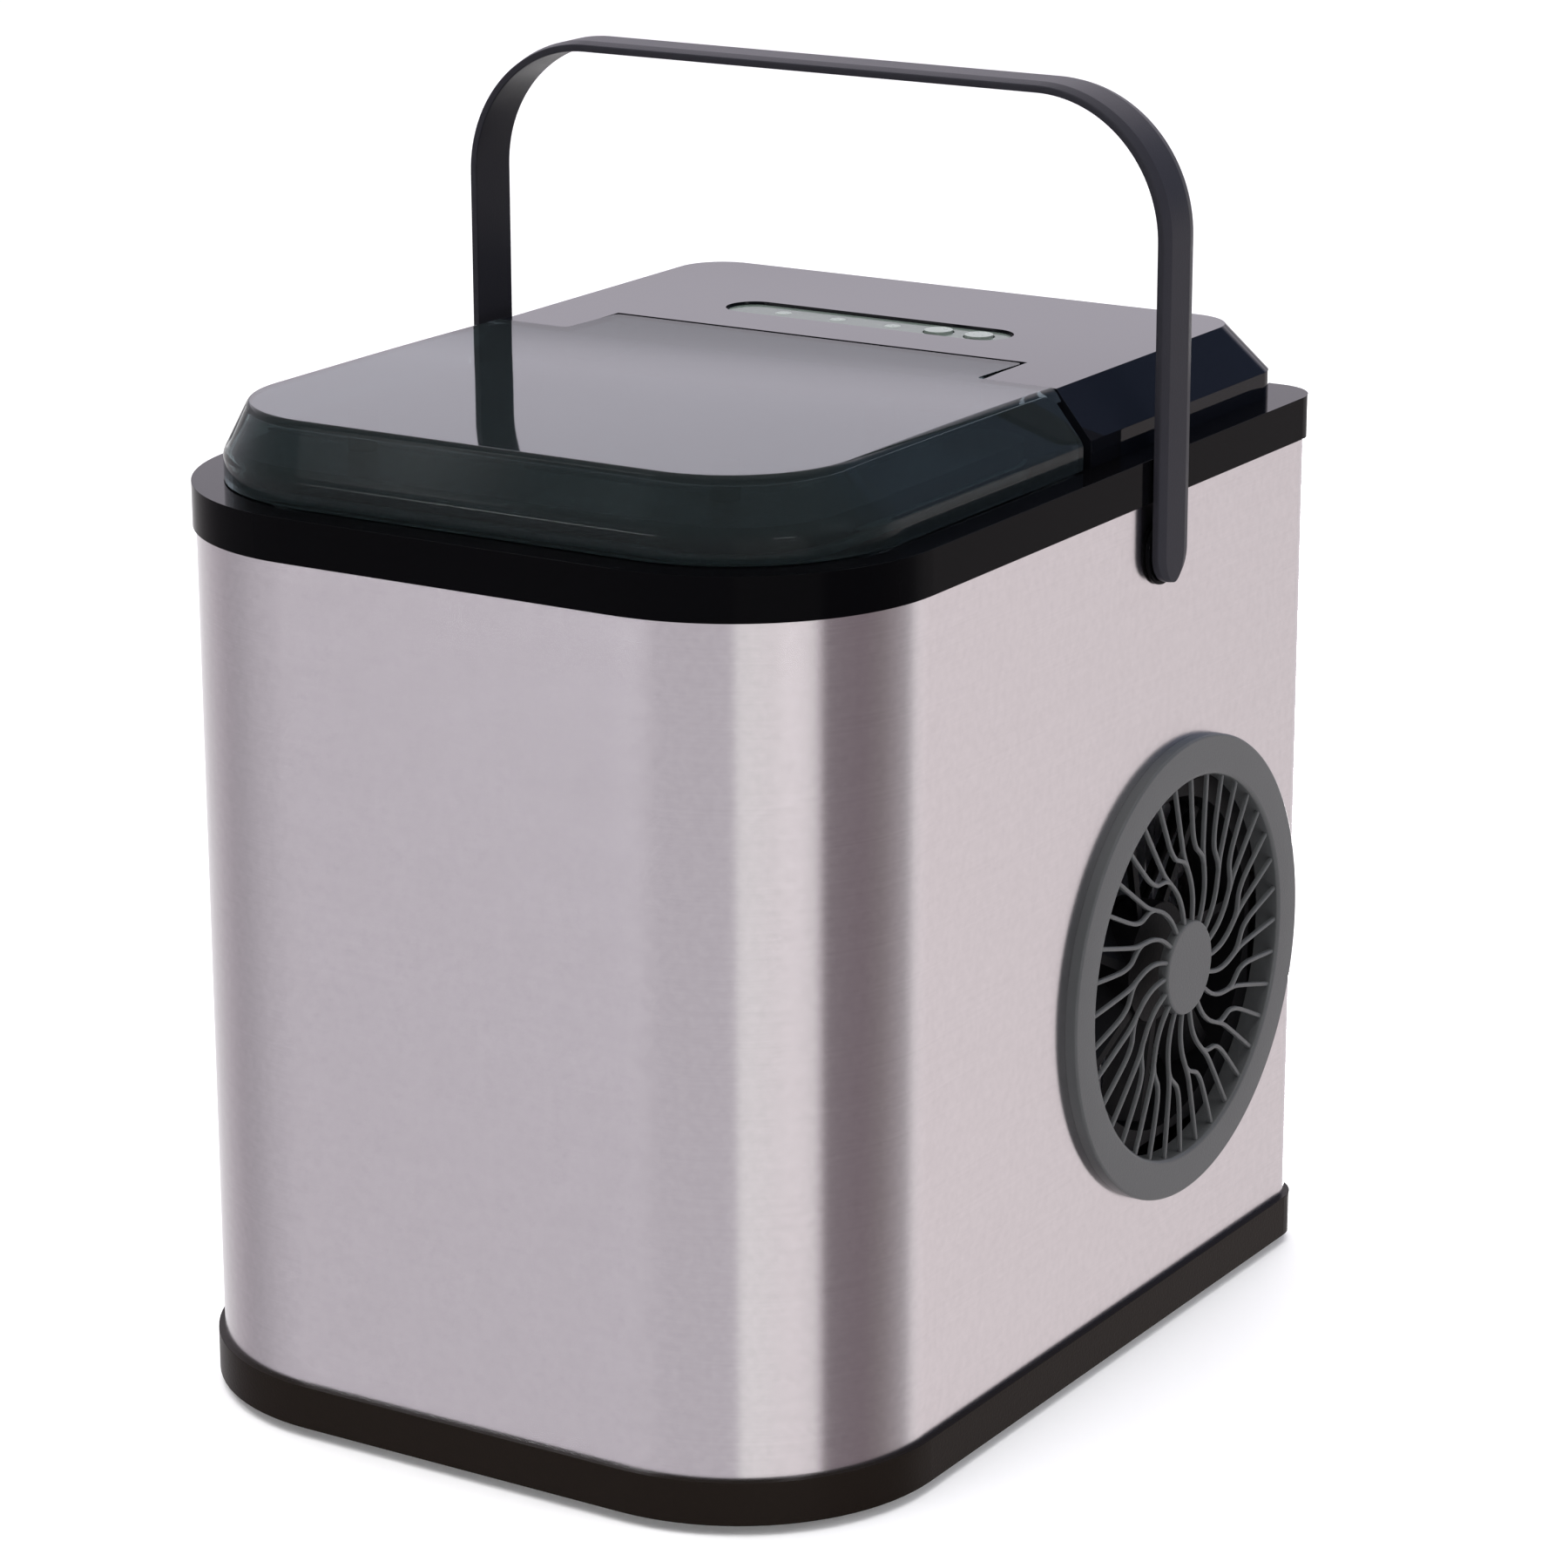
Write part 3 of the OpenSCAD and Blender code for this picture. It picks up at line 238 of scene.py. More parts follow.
class Nodes:
    """Small helper that adds and links shader nodes."""

    def __init__(self, tree):
        self.tree = tree
        tree.nodes.clear()

    def add(self, kind, settings=None, **inputs):
        node = self.tree.nodes.new(kind)
        for key, value in (settings or {}).items():
            setattr(node, key, value)
        for key, value in inputs.items():
            self.put(node, key.replace("_", " "), value)
        return node

    def put(self, node, key, value):
        socket = node.inputs[int(key)] if key.isdigit() else node.inputs[key]
        if isinstance(value, bpy.types.NodeSocket):
            self.tree.links.new(value, socket)
        else:
            socket.default_value = value

    def math(self, operation, *values, clamp=False):
        node = self.tree.nodes.new("ShaderNodeMath")
        node.operation = operation
        node.use_clamp = clamp
        for i, value in enumerate(values):
            self.put(node, str(i), value)
        return node.outputs[0]

    def ramp(self, factor, stops):
        node = self.tree.nodes.new("ShaderNodeValToRGB")
        elements = node.color_ramp.elements
        while len(elements) > 1:
            elements.remove(elements[-1])
        for i, (place, colour) in enumerate(stops):
            element = elements[0] if i == 0 else elements.new(place)
            element.position = place
            element.color = tuple(colour) + (1,) if len(colour) == 3 else colour
        self.put(node, "Fac", factor)
        return node.outputs["Color"]

    def mix(self, factor, a, b, blend="MIX"):
        node = self.tree.nodes.new("ShaderNodeMix")
        node.data_type = "RGBA"
        node.blend_type = blend
        self.put(node, "0", factor)
        for index, value in ((6, a), (7, b)):
            if isinstance(value, bpy.types.NodeSocket):
                self.tree.links.new(value, node.inputs[index])
            else:
                node.inputs[index].default_value = value
        return node.outputs[2]


def rgba(colour):
    return tuple(colour) + (1.0,)


def material(name, colour, rough, metallic=0.0, vary=0.06, grain=900, bump=0.02, rough_vary=0.06, wear=0.0,
             **sockets):
    """A moulded, cast, rolled or foamed surface: colour drift, fine grain, uneven gloss, paler worn edges."""
    mat = bpy.data.materials.new(name)
    mat.use_nodes = True
    n = Nodes(mat.node_tree)
    coords = n.add("ShaderNodeTexCoord").outputs["Object"]
    cloud = n.add("ShaderNodeTexNoise", Vector=coords, Scale=28.0, Detail=3.0).outputs["Fac"]
    fine = n.add("ShaderNodeTexNoise", Vector=coords, Scale=float(grain), Detail=4.0).outputs["Fac"]
    dark = rgba([c * (1 - vary) for c in colour])
    light = rgba([min(1.0, c * (1 + vary)) for c in colour])
    tint = n.mix(cloud, dark, light)
    if wear:
        edge = n.add("ShaderNodeNewGeometry").outputs["Pointiness"]
        worn = n.math("MULTIPLY", n.math("SUBTRACT", edge, 0.52, clamp=True), wear, clamp=True)
        tint = n.mix(worn, tint, rgba([min(1.0, c * 1.8 + 0.03) for c in colour]))
    gloss = n.math("MULTIPLY_ADD", n.math("MULTIPLY_ADD", cloud, 0.6, n.math("MULTIPLY", fine, 0.4)),
                   rough_vary * 2, rough - rough_vary)
    normal = n.add("ShaderNodeBump", Strength=min(1.0, bump * 10), Distance=0.0002, Height=fine)
    shader = n.add("ShaderNodeBsdfPrincipled", Roughness=gloss, Metallic=metallic)
    n.put(shader, "Base Color", tint)
    n.put(shader, "Normal", normal.outputs["Normal"])
    for key, value in sockets.items():
        shader.inputs[key.replace("_", " ")].default_value = value
    out = n.add("ShaderNodeOutputMaterial")
    n.put(out, "Surface", shader.outputs[0])
    return mat


def brushed_steel():
    """Sheet with its grain running round the case: sharp upright bands, reflections drawn out up and down."""
    mat = bpy.data.materials.new("steel_brushed")
    mat.use_nodes = True
    n = Nodes(mat.node_tree)
    coords = n.add("ShaderNodeTexCoord").outputs["Object"]
    streak = n.add("ShaderNodeMapping", Vector=coords)
    streak.inputs["Scale"].default_value = (14, 14, 2600)
    lines = n.add("ShaderNodeTexNoise", Vector=streak.outputs["Vector"], Scale=1.0, Detail=5.0,
                  Roughness=0.65).outputs["Fac"]
    cloud = n.add("ShaderNodeTexNoise", Vector=coords, Scale=18.0, Detail=2.0).outputs["Fac"]
    speck = n.add("ShaderNodeTexNoise", Vector=coords, Scale=420.0, Detail=3.0).outputs["Fac"]
    mottle = n.math("MULTIPLY_ADD", speck, 0.5, n.math("MULTIPLY", lines, 0.5))
    base = n.mix(mottle, rgba((0.65, 0.63, 0.65)), rgba((0.86, 0.84, 0.86)))
    base = n.mix(n.math("MULTIPLY", cloud, 0.25), base, rgba((0.76, 0.73, 0.745)))
    rough = n.math("MULTIPLY_ADD", lines, 0.06, 0.17)
    bump = n.add("ShaderNodeBump", Strength=0.08, Distance=0.0001, Height=lines)
    shader = n.add("ShaderNodeBsdfPrincipled", Metallic=1.0, Roughness=rough)
    n.put(shader, "Base Color", base)
    n.put(shader, "Normal", bump.outputs["Normal"])
    shader.inputs["Anisotropic"].default_value = 0.8
    shader.inputs["Anisotropic Rotation"].default_value = 0.25
    tangent = n.add("ShaderNodeTangent", {"direction_type": "RADIAL", "axis": "Z"})
    n.put(shader, "Tangent", tangent.outputs["Tangent"])
    out = n.add("ShaderNodeOutputMaterial")
    n.put(out, "Surface", shader.outputs[0])
    return mat


LOOKS = {
    "base_black": dict(colour=(0.012, 0.0088, 0.0068), rough=0.30, grain=1400, bump=0.03, wear=0.15,
                       IOR=1.12),
    "foot_rubber": dict(colour=(0.035, 0.035, 0.035), rough=0.8, grain=2200, bump=0.08),
    "rear_black": dict(colour=(0.022, 0.022, 0.025), rough=0.5, grain=2600, bump=0.10, wear=0.2),
    "ring_gloss": dict(colour=(0.0016, 0.0016, 0.002), rough=0.09, bump=0.004, rough_vary=0.02, IOR=1.105),
    "panel_gloss": dict(colour=(0.0035, 0.0038, 0.0055), rough=0.045, bump=0.002, rough_vary=0.012,
                        IOR=1.2),
    "smoked_lid": dict(colour=(0.105, 0.135, 0.14), rough=0.03, bump=0.001, rough_vary=0.006,
                       Transmission_Weight=0.92, IOR=1.2),
    "inner_clear": dict(colour=(0.10, 0.125, 0.13), rough=0.22, bump=0.01),
    "gasket_rubber": dict(colour=(0.12, 0.12, 0.12), rough=0.7, grain=1800, bump=0.05),
    "foam": dict(colour=(0.80, 0.74, 0.58), rough=0.9, vary=0.12, grain=500, bump=0.3),
    "tub_plastic": dict(colour=(0.62, 0.65, 0.66), rough=0.25, bump=0.01),
    "pin_steel": dict(colour=(0.62, 0.62, 0.63), rough=0.25, metallic=1.0, grain=1500, bump=0.03),
    "display_lens": dict(colour=(0.095, 0.122, 0.105), rough=0.16, vary=0.10, bump=0.01, IOR=1.18),
    "lamp_plastic": dict(colour=(0.75, 0.85, 0.78), rough=0.3, bump=0.01),
    "circuit_board": dict(colour=(0.03, 0.16, 0.07), rough=0.4, grain=700, bump=0.04),
    "button_grey": dict(colour=(0.25, 0.29, 0.265), rough=0.28, bump=0.01, IOR=1.25),
    "handle_plastic": dict(colour=(0.024, 0.0236, 0.029), rough=0.33, grain=1800, bump=0.02,
                           rough_vary=0.04, IOR=1.14),
    "grille_grey": dict(colour=(0.075, 0.078, 0.079), rough=0.30, grain=1600, bump=0.03, IOR=1.35),
    "fan_black": dict(colour=(0.004, 0.004, 0.0045), rough=0.5, bump=0.03, IOR=1.25),
    "copper": dict(colour=(0.72, 0.36, 0.22), rough=0.28, metallic=1.0, vary=0.12, grain=700, bump=0.03),
    "aluminium": dict(colour=(0.75, 0.76, 0.78), rough=0.35, metallic=1.0, grain=900, bump=0.04),
    "compressor_black": dict(colour=(0.015, 0.015, 0.016), rough=0.3, grain=600, bump=0.04),
    "zinc_steel": dict(colour=(0.6, 0.61, 0.62), rough=0.4, metallic=1.0, vary=0.15, grain=300, bump=0.03),
    "brass": dict(colour=(0.72, 0.52, 0.2), rough=0.3, metallic=1.0, vary=0.1, grain=700, bump=0.03),
    "plated_evaporator": dict(colour=(0.72, 0.68, 0.62), rough=0.2, metallic=1.0, grain=500, bump=0.02),
    "white_plastic": dict(colour=(0.78, 0.80, 0.81), rough=0.32, bump=0.02),
    "hose_clear": dict(colour=(0.70, 0.74, 0.76), rough=0.3, bump=0.01),
    "grip_blue": dict(colour=(0.04, 0.17, 0.30), rough=0.35, bump=0.02),
    "component_blue": dict(colour=(0.03, 0.06, 0.22), rough=0.4, bump=0.02),
}
SURFACES = {slot: material(slot, **look) for slot, look in LOOKS.items()}
SURFACES["steel"] = brushed_steel()

for sub in frame["record"]["subparts"]:
    mesh = NODES[sub["node"]].data
    mesh.materials.clear()
    mesh.materials.append(SURFACES[sub["material_slot"]])


def finish_piece(obj, slot, body, *replaced):
    """Gives a new piece the material of its slot and its body, and hides the CAD nodes that it stands for."""
    obj.data.materials.clear()
    obj.data.materials.append(SURFACES[slot])
    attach(obj, body)
    if replaced:
        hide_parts(*replaced)


# ---- steel wrap ----

def build_wrap():
    """Bent sheet round the front and sides, open at the rear, with holes for the fan and the handle pins."""
    def path(step):
        half, y0, y1 = WRAP_X - step, WRAP_FRONT + step, WRAP_REAR - step
        rf, rb = FRONT_R - step, REAR_R - step
        return (
            [(COVER_HALF, y1)]
            + arc(half - rb, y1 - rb, rb, 90, 0, 24)
            + arc(half - rf, y0 + rf, rf, 0, -90, 90)
            + arc(-half + rf, y0 + rf, rf, -90, -180, 90)
            + arc(-half + rb, y1 - rb, rb, 180, 90, 24)
            + [(-COVER_HALF, y1)]
        )
    outline = path(0) + list(reversed(path(SHEET)))
    wrap = prism("steel_wrap", outline, wrap_low.z, wrap_high.z)

    def hole(side, y, z, radius):
        reach = 5 * MM
        boolean(wrap, cylinder_x("hole", y, z, radius, side * WRAP_X - reach, side * WRAP_X + reach))

    hole(1, FAN_Y, FAN_Z, GRILLE_OPEN + 3 * MM)
    for side in (-1, 1):
        hole(side, STRAP_Y, PIVOT_Z, PIN_HOLE_R)
    crease(wrap)
    finish_piece(wrap, "steel", "case", "outer_wrap")


# ---- lid ----

def cap_rings(step, bottom):
    """Outlines of the cap from its skirt to its flat top, with rounded bends between them."""
    def outline(share, z):
        def lerp(a, b):
            return a + (b - a) * share
        half = lerp(CAP_HALF - step, FLAT_HALF - step / 2)
        y0 = lerp(-CAP_REAR + step, FLAT_FRONT + step / 2)
        y1 = lerp(CAP_REAR - step, FLAT_REAR - step / 2)
        rf = lerp(49.3 * MM, 35 * MM) - step
        rb = lerp(12 * MM, 14 * MM) - step
        return [Vector((x, y, z)) for x, y in footprint(half, y0, y1, rf, rb)]
    top = TOP_Z - step
    rise = top - SKIRT_Z
    rings = [outline(0, bottom)]
    low, high = 0.15, 0.10
    for i in range(7):
        t = i / 6
        share = low * t * t
        z = SKIRT_Z + rise * low * t * t - 0.9 * MM * (1 - t) ** 2
        rings.append(outline(share, z))
    for i in range(7):
        t = i / 6
        share = 1 - high * (1 - t) ** 2 + 0.08 * t * t
        z = top - rise * high * (1 - t) ** 2
        rings.append(outline(share, z))
    return rings


def tongue_outline(step):
    """The lid's footprint behind its front: a straight seam with a tongue in its middle."""
    far, bend = 0.3, 2 * MM
    y_seam, y_tongue, x = LID_REAR - step, TONGUE_REAR - step, TONGUE_HALF - step
    right = (
        [(far, -far), (far, y_seam)]
        + arc(x + bend, y_seam + bend, bend, 270, 180, 6)
        + arc(x - bend, y_tongue - bend, bend, 0, 90, 6)
    )
    return right + [(-px, py) for px, py in reversed(right)]


def build_lid():
    """Hollow smoked lid with its tongue, and the two dark hinge blocks under the tongue's corners."""
    bottom = lid_low.z
    lid = loft("lid_glass", cap_rings(0, bottom))
    boolean(lid, prism("seam", tongue_outline(0), 0, 0.4), "INTERSECT")
    cavity = loft("cavity", cap_rings(WALL, bottom - 5 * MM))
    boolean(cavity, box("front", (-0.3, -0.3, 0), (0.3, LID_REAR - WALL, 0.4)), "INTERSECT")
    boolean(lid, cavity)
    boolean(lid, box("under", (-0.3, LID_REAR - WALL - 0.01 * MM, 0), (0.3, 0.2, TOP_Z - 3 * MM)))
    crown(lid)
    round_edges(lid, 0.45 * MM, 3, 40)
    smooth_normals(lid)
    finish_piece(lid, "smoked_lid", "lid", "lid_shell")
    block_w = 12 * MM
    hinge_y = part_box("lid_hinge_pins")[0].y + 1.8 * MM
    for side, name in ((-1, "left"), (1, "right")):
        x = side * (TONGUE_HALF - block_w / 2)
        block = box("hinge_block_" + name, (x - block_w / 2, LID_REAR - WALL, TOP_Z - 10 * MM),
                    (x + block_w / 2, hinge_y + 6 * MM, TOP_Z - 3.05 * MM))
        round_edges(block, 1.2 * MM, 4)
        smooth_normals(block)
        finish_piece(block, "rear_black", "lid")


def crown(lid):
    """Slices the top across and lifts it a little, so that its rear part falls gently to the seam."""
    low, high, rise, top_t = FLAT_FRONT, TONGUE_REAR, 1.25 * MM, 3.2 * MM
    start = low + 0.42 * (high - low)
    bm = bmesh.new()
    bm.from_mesh(lid.data)
    slices = 28
    for i in range(1, slices):
        y = low + (high - low) * i / slices
        bmesh.ops.bisect_plane(bm, geom=bm.verts[:] + bm.edges[:] + bm.faces[:], dist=1e-7,
                               plane_co=(0, y, 0), plane_no=(0, 1, 0))
    for vert in bm.verts:
        if vert.co.z > TOP_Z - top_t:
            height = (vert.co.z - (TOP_Z - top_t)) / top_t
            share = 1 - max(0.0, (vert.co.y - start) / (high - start)) ** 2
            vert.co.z += rise * max(0.0, share) * min(1.0, height * 3)
    for face in bm.faces:
        face.smooth = True
    bm.to_mesh(lid.data)
    bm.free()


# ---- handle ----

def build_handle():
    """A strap with bevelled edges on its outer face, swept from one rounded tip to the other."""
    leg_out = strap_high.x
    top = strap_high.z
    bend_z = top - STRAP_R
    half = STRAP_W / 2
    path = []
    for i in range(1, 19):
        a = math.radians(5 * i)
        path.append((Vector((leg_out, 0, PIVOT_Z - half * math.cos(a))), Vector((1, 0, 0)), math.sin(a)))
    straight = bend_z - PIVOT_Z
    for i in range(1, 12):
        path.append((Vector((leg_out, 0, PIVOT_Z + straight * i / 12)), Vector((1, 0, 0)), 1.0))
    for i in range(33):
        a = math.radians(90 * i / 32)
        out = Vector((math.cos(a), 0, math.sin(a)))
        path.append((Vector((leg_out - STRAP_R, 0, bend_z)) + out * STRAP_R, out, 1.0))
    run = leg_out - STRAP_R
    for i in range(1, 8):
        path.append((Vector((run * (1 - i / 8), 0, top)), Vector((0, 0, 1)), 1.0))
    path.append((Vector((0, 0, top)), Vector((0, 0, 1)), 1.0))
    mirrored = [(Vector((-p.x, 0, p.z)), Vector((-o.x, 0, o.z)), w) for p, o, w in reversed(path[:-1])]
    band, drop = 3.4 * MM, 0.75 * MM
    section = [
        (-half, -STRAP_T + 0.5 * MM), (-half, -drop - 0.35 * MM), (-half + 0.12 * MM, -drop - 0.1 * MM),
        (-half + 0.4 * MM, -drop + 0.05 * MM),
        (-half + band - 0.3 * MM, -0.06 * MM), (-half + band + 0.2 * MM, 0),
        (half - band - 0.2 * MM, 0), (half - band + 0.3 * MM, -0.06 * MM),
        (half - 0.4 * MM, -drop + 0.05 * MM), (half - 0.12 * MM, -drop - 0.1 * MM),
        (half, -drop - 0.35 * MM), (half, -STRAP_T + 0.5 * MM),
        (half - 0.15 * MM, -STRAP_T + 0.15 * MM), (half - 0.5 * MM, -STRAP_T),
        (-half + 0.5 * MM, -STRAP_T), (-half + 0.15 * MM, -STRAP_T + 0.15 * MM),
    ]
    rings = []
    for point, out, width in path + mirrored:
        rings.append([
            point + out * depth + Vector((0, STRAP_Y + across * width, 0)) for across, depth in section
        ])
    strap = loft("handle_strap", rings)
    crease(strap, 40)
    finish_piece(strap, "handle_plastic", "handle", "carry_handle")


# ---- fan grille ----

def fan_point(radius, angle, depth):
    """A point on the grille: radius and angle about the fan axis, depth out from the steel."""
    a = math.radians(angle)
    return Vector((WRAP_X + depth, FAN_Y + radius * math.cos(a), FAN_Z + radius * math.sin(a)))


def spline(points, steps=4):
    """Catmull-Rom curve through the points."""
    fine = []
    for i in range(len(points) - 1):
        p0 = points[max(i - 1, 0)]
        p1, p2 = points[i], points[i + 1]
        p3 = points[min(i + 2, len(points) - 1)]
        for k in range(steps):
            t = k / steps
            fine.append(tuple(
                0.5 * (2 * b + (c - a) * t + (2 * a - 5 * b + 4 * c - d) * t * t
                       + (3 * b - a - 3 * c + d) * t ** 3)
                for a, b, c, d in zip(p0, p1, p2, p3)))
    fine.append(points[-1])
    return fine


def ribbon(points, width, top, bottom, dome):
    """Rings of a rounded bar along (radius, angle) points, lifted towards the middle of the grille."""
    flat = [(r * math.cos(math.radians(a)), r * math.sin(math.radians(a))) for r, a in spline(points)]
    section = [(-0.5, -1), (-0.5, -0.25), (-0.34, -0.06), (0, 0), (0.34, -0.06), (0.5, -0.25), (0.5, -1)]
    rings = []
    for i, (u, v) in enumerate(flat):
        a, b = flat[max(i - 1, 0)], flat[min(i + 1, len(flat) - 1)]
        run = Vector((b[0] - a[0], b[1] - a[1])).normalized()
        side = Vector((-run.y, run.x))
        lift = dome * (1 - math.hypot(u, v) / GRILLE_OPEN)
        rings.append([
            Vector((WRAP_X + top + lift + (top - bottom) * depth, FAN_Y + u + side.x * across * width,
                    FAN_Z + v + side.y * across * width))
            for across, depth in section
        ])
    return rings


def lathe(name, profile, steps=144):
    """Turned solid about the fan axis from a closed (radius, depth) profile."""
    rings = [[fan_point(r, 360 * i / steps, d) for r, d in profile] for i in range(steps)]
    return loft_sets(name, [rings], loop=True)


def build_grille():
    """Rim, swirled ribs that each split in two, and the hub plate."""
    proud = grille_high.x - WRAP_X
    edge = proud - 1.0 * MM
    ring = lathe("grille_ring", [
        (GRILLE_R, 0.02 * MM), (GRILLE_R, proud - 0.7 * MM), (GRILLE_R - 0.2 * MM, proud - 0.3 * MM),
        (GRILLE_R - 0.8 * MM, proud), (GRILLE_OPEN + 1.4 * MM, proud),
        (GRILLE_OPEN + 0.5 * MM, proud - 0.25 * MM), (GRILLE_OPEN, proud - 0.9 * MM),
        (GRILLE_OPEN, -3.9 * MM), (GRILLE_OPEN + 2.8 * MM, -3.9 * MM),
        (GRILLE_OPEN + 2.8 * MM, 0.02 * MM),
    ])
    crease(ring, 40)
    finish_piece(ring, "grille_grey", "case", "fan_grille")
    stem = [(12.0, -1), (16, 0), (20, 2), (24.5, 6), (29, 11), (33, 14.4), (38, 16.2), (46, 17.8), (55.3, 19)]
    fork = [(29.5, 11.4), (31.5, 15.0), (32.8, 19.0), (34.5, 23.0), (38.5, 26.0), (46, 27.8), (55.3, 29)]
    ribs = []
    count = 18
    for i in range(count):
        a = 360 * i / count
        for line in (stem, fork):
            ribs.append(ribbon([(r * MM, a + t) for r, t in line], 1.25 * MM, edge, edge - 1.1 * MM,
                               0.6 * MM))
    ribs = loft_sets("grille_ribs", ribs)
    crease(ribs, 50)
    finish_piece(ribs, "grille_grey", "case")
    hub = lathe_disc("grille_hub", 13.5 * MM, proud, edge - 2.0 * MM)
    crease(hub, 40)
    finish_piece(hub, "grille_grey", "case")


def lathe_disc(name, radius, top, bottom, steps=72):
    """Round plate on the fan axis with a softened outer edge."""
    profile = [(radius, bottom), (radius, top - 0.9 * MM), (radius - 0.3 * MM, top - 0.3 * MM),
               (radius - 1.0 * MM, top)]
    rings = [[fan_point(r, 360 * i / steps, d) for i in range(steps)] for r, d in profile]
    return loft(name, rings)


def build_lamp_marks():
    """Small milky windows in the lens, one above each lamp."""
    lamps = sorted({round(v.co.x * 1000) for v in NODES["indicator_lamps"].data.vertices})
    groups = [[lamps[0]]]
    for x in lamps[1:]:
        if x - groups[-1][-1] > LAMP_GAP_MM:
            groups.append([x])
        else:
            groups[-1].append(x)
    lens_low, lens_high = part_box("display_lens")
    y = (lens_low.y + lens_high.y) / 2
    turns = [math.tau * k / 48 for k in range(48)]
    for i, group in enumerate(groups):
        x = (group[0] + group[-1]) / 2 * MM
        rings = []
        for radius, z in ((2.4, -0.3), (2.4, 0.02), (2.25, 0.09), (1.9, 0.12)):
            r, level = radius * MM, lens_high.z + z * MM
            rings.append([Vector((x + r * math.cos(a), y + r * math.sin(a), level)) for a in turns])
        mark = loft("lamp_window_%d" % (i + 1), rings)
        crease(mark, 40)
        finish_piece(mark, "button_grey", "case")


build_wrap()
build_lamp_marks()
build_lid()
build_handle()
build_grille()

for node, width in (("top_ring", 0.8), ("base_tray", 0.9), ("rear_panel", 0.5),
                    ("handle_bushes", 0.6), ("power_inlet", 0.4), ("display_lens", 0.25),
                    ("inner_tub", 0.8), ("ice_basket", 0.4), ("water_tray", 0.4)):
    soften(NODES[node], width * MM)


# ---- camera ----

EYE = Vector((0.7328, -1.1520, 0.5628))
TARGET = Vector((0.0, -0.002, 0.153))
ROLL = math.radians(-0.32)
camera_data = bpy.data.cameras.new("camera")
camera_data.lens = 117.76
camera_data.sensor_width = 36
camera_data.shift_x = 0.0314
camera_data.shift_y = 0.0093
camera = bpy.data.objects.new("camera", camera_data)
SCENE.collection.objects.link(camera)
camera.location = EYE
camera.rotation_mode = "QUATERNION"
camera.rotation_quaternion = (TARGET - EYE).to_track_quat("-Z", "Y") @ Quaternion((0, 0, 1), ROLL)
SCENE.camera = camera


# ---- studio ----

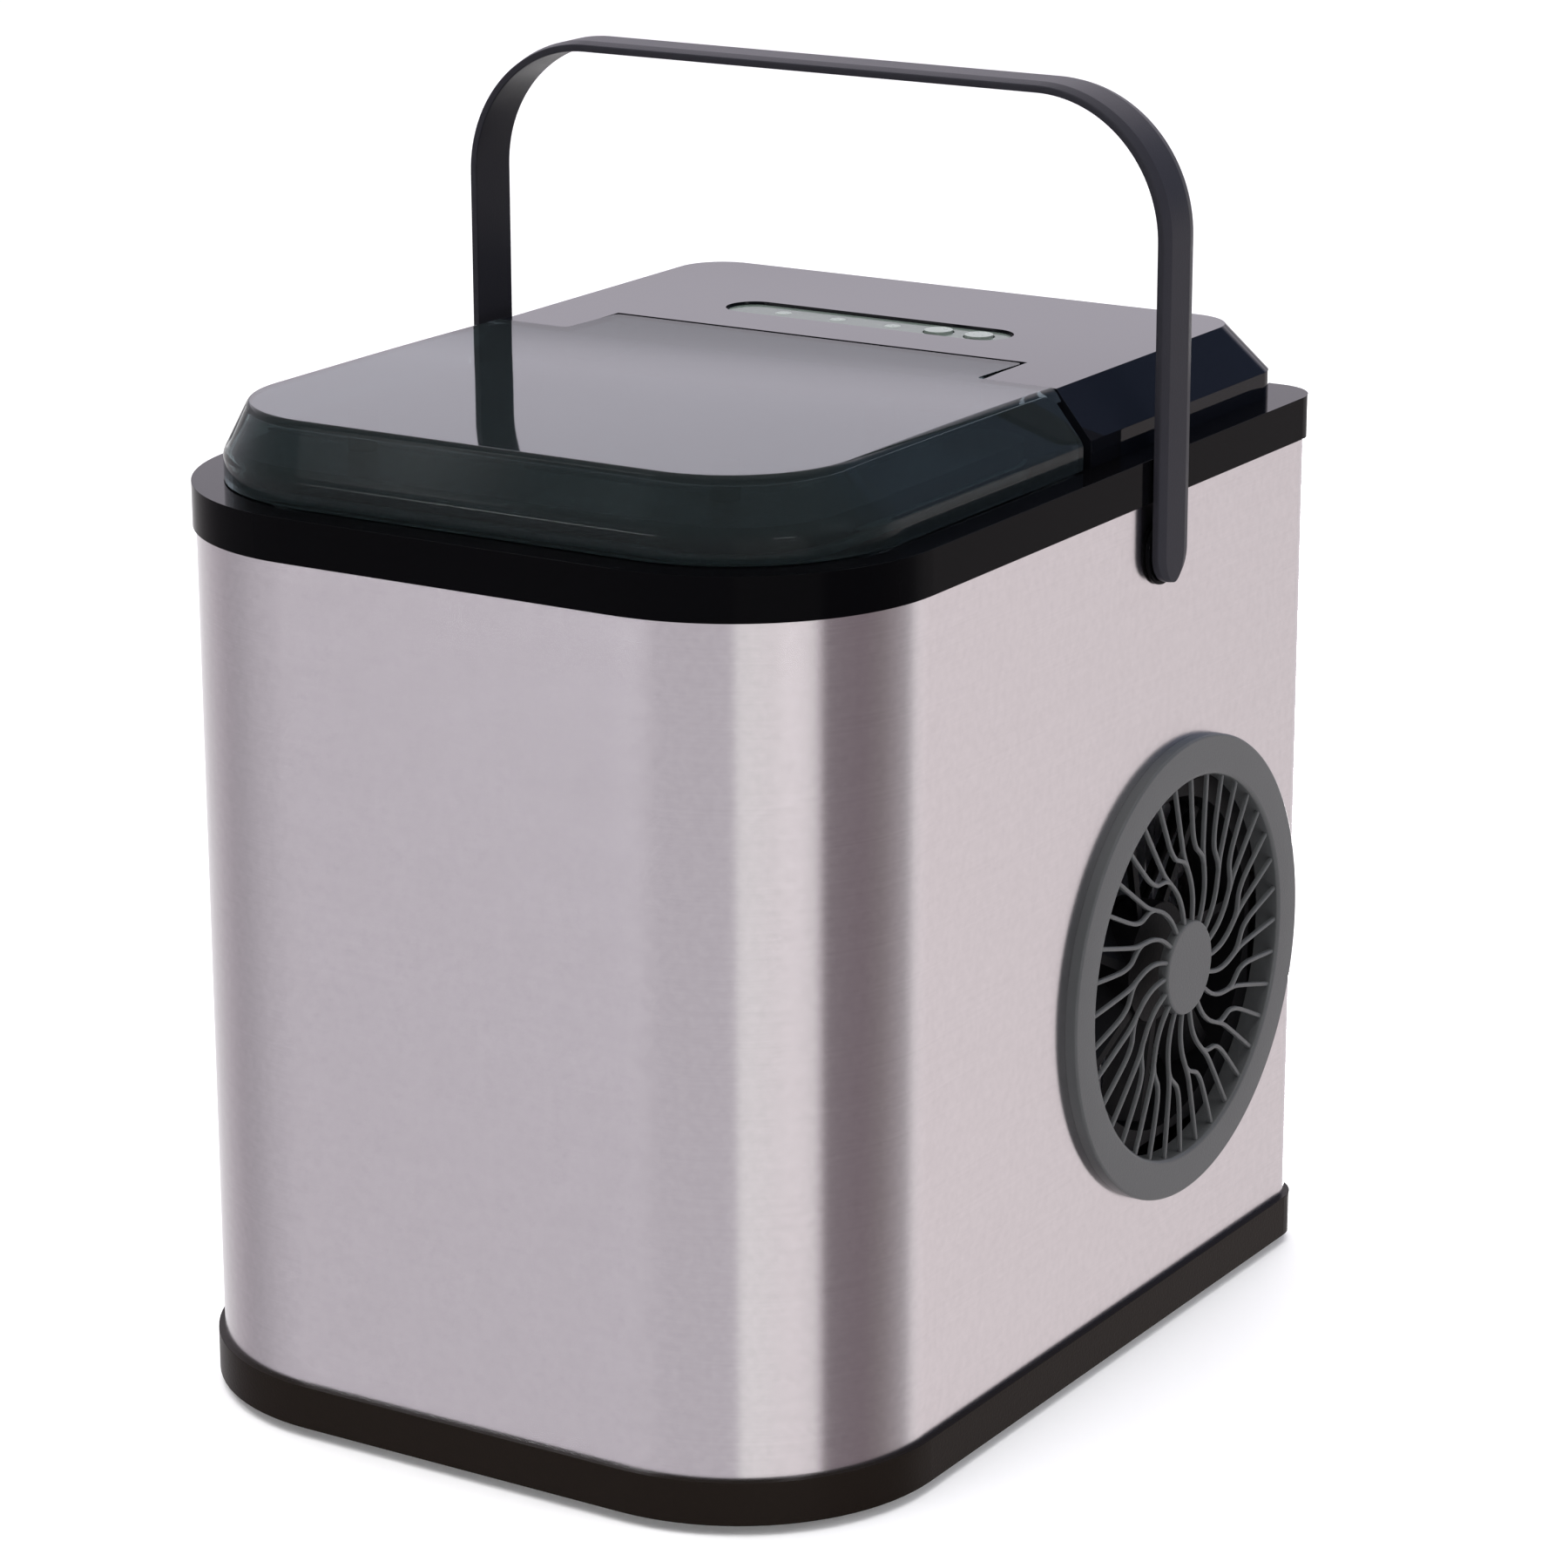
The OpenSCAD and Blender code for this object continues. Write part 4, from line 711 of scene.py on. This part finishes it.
def build_world():
    """World colour by direction: a low and a high band with a few bright strips; the camera sees white."""
    world = bpy.data.worlds.new("studio")
    SCENE.world = world
    world.use_nodes = True
    n = Nodes(world.node_tree)
    way = n.add("ShaderNodeTexCoord").outputs["Generated"]
    split = n.add("ShaderNodeSeparateXYZ", Vector=way)
    x, y, z = split.outputs
    around = n.math("DIVIDE", n.math("ARCTAN2", x, n.math("MULTIPLY", y, -1.0)), math.tau)
    around = n.math("ADD", around, 0.5)
    rise = n.math("MULTIPLY_ADD", n.math("ARCSINE", z), 1 / math.pi, 0.5)

    def turn(stops):
        """Ramp over the azimuth in degrees; 0 is the front of the part, 90 its right side."""
        return n.ramp(around, [(angle / 360 + 0.5, colour) for angle, colour in stops])

    def lift(stops):
        """Ramp over the elevation in degrees."""
        return n.ramp(rise, [(angle / 180 + 0.5, colour) for angle, colour in stops])

    def gate(ramp, *angles):
        """Mask that opens between the first two angles, closes between the next two, and so on."""
        return ramp([(angle, (level,) * 3) for angle, level in zip(angles, (0, 1, 1, 0) * 2)])

    low = turn([
        (-180, (0.80, 0.76, 0.78)), (-140, (1.0, 0.98, 1.0)), (-118, (0.72, 0.69, 0.71)),
        (-98, (0.52, 0.48, 0.51)), (-84, (0.42, 0.385, 0.415)), (-72, (0.44, 0.41, 0.44)),
        (-56, (0.545, 0.51, 0.545)), (-44, (0.58, 0.543, 0.58)), (29.5, (0.58, 0.543, 0.578)),
        (33, (0.88, 0.85, 0.85)), (60, (0.83, 0.77, 0.78)), (73.5, (0.80, 0.75, 0.76)),
        (78, (0.235, 0.20, 0.215)), (100, (0.205, 0.165, 0.18)), (112, (0.24, 0.205, 0.21)),
        (124, (0.36, 0.32, 0.33)), (131, (0.44, 0.41, 0.42)), (137, (0.80, 0.75, 0.76)),
        (144, (0.86, 0.79, 0.80)), (150, (0.82, 0.745, 0.755)), (156, (0.74, 0.68, 0.685)),
        (180, (0.80, 0.76, 0.78)),
    ])
    glint = gate(turn, -172, -169, -158, -155)
    level = gate(lift, -26, -23, -14, -11)
    low = n.mix(n.math("MULTIPLY", glint, level), low, (14.0, 14.0, 14.0, 1))
    high = turn([
        (-180, (1.46, 1.38, 1.54)), (-115, (1.46, 1.38, 1.54)), (-85, (0.60, 0.58, 0.62)),
        (-60, (0.34, 0.34, 0.35)), (0, (0.30, 0.30, 0.31)), (80, (0.28, 0.28, 0.30)),
        (130, (0.13, 0.16, 0.26)), (165, (0.17, 0.23, 0.40)), (178, (1.46, 1.38, 1.54)),
    ])
    fade = lift([
        (-5, (0.36, 0.36, 0.36)), (8.0, (0.40, 0.40, 0.40)), (9.8, (0.60, 0.60, 0.60)),
        (10.9, (1, 1, 1)), (16.5, (1.06, 1.06, 1.06)),
    ])
    back = turn([
        (-180, (1, 1, 1)), (-110, (1, 1, 1)), (-85, (0, 0, 0)), (165, (0, 0, 0)),
        (178, (1, 1, 1)),
    ])
    shade = n.mix(back, (1, 1, 1, 1), fade)
    high = n.mix(1.0, high, shade, "MULTIPLY")
    over = gate(lift, 38, 60)
    high = n.mix(over, high, (1.15, 1.12, 1.14, 1))
    upper = gate(lift, -2, 4)
    colour = n.mix(upper, low, high)
    panels = gate(turn, -37, -36, -15, -14, 54, 55, 66, 67)
    strip = gate(lift, 6, 7, 11, 12)
    lit = n.math("MULTIPLY", panels, strip)
    front = gate(turn, -42.8, -41.6, -40.4, -39.9)
    height = gate(lift, 26, 31, 36, 40)
    colour = n.mix(n.math("MULTIPLY", front, height), colour, (4.5, 4.5, 4.6, 1))
    colour = n.mix(lit, colour, (12.0, 12.0, 12.4, 1))
    seen = n.add("ShaderNodeLightPath").outputs["Is Camera Ray"]
    colour = n.mix(seen, colour, (1, 1, 1, 1))
    background = n.add("ShaderNodeBackground", Color=colour, Strength=1.0)
    out = n.add("ShaderNodeOutputWorld")
    n.put(out, "Surface", background.outputs[0])
    world.cycles.sampling_method = "NONE"


def area_light(name, place, target, size, watts):
    """Square light that reflections don't show."""
    data = bpy.data.lights.new(name, "AREA")
    data.size = size
    data.energy = watts
    light = bpy.data.objects.new(name, data)
    SCENE.collection.objects.link(light)
    light.location = place
    light.visible_glossy = False
    light.rotation_mode = "QUATERNION"
    light.rotation_quaternion = (Vector(target) - Vector(place)).to_track_quat("-Z", "Y")


def build_floor():
    """Large pale floor, part of the stage and not of the part."""
    floor = box("floor", (-9, -9, -0.02), (9, 9, 0))
    mat = bpy.data.materials.new("floor_pale")
    mat.use_nodes = True
    n = Nodes(mat.node_tree)
    coords = n.add("ShaderNodeTexCoord").outputs["Object"]
    cloud = n.add("ShaderNodeTexNoise", Vector=coords, Scale=2.0, Detail=2.0).outputs["Fac"]
    tint = n.mix(cloud, (0.93, 0.93, 0.93, 1), (0.96, 0.96, 0.96, 1))
    shader = n.add("ShaderNodeBsdfPrincipled", Roughness=0.9)
    n.put(shader, "Base Color", tint)
    shader.inputs["Emission Color"].default_value = (1, 1, 1, 1)
    shader.inputs["Emission Strength"].default_value = 0.13
    out = n.add("ShaderNodeOutputMaterial")
    n.put(out, "Surface", shader.outputs[0])
    floor.data.materials.append(mat)
    floor.visible_glossy = False


build_world()
build_floor()
area_light("overhead", (-0.2, -0.3, 2.2), (0, 0, 0.1), 2.6, 46)
area_light("side_fill", (1.9, 0.2, 1.0), (0.1, 0.05, 0.12), 0.8, 9)
SCENE.view_settings.view_transform = "Standard"
SCENE.cycles.use_denoising = True
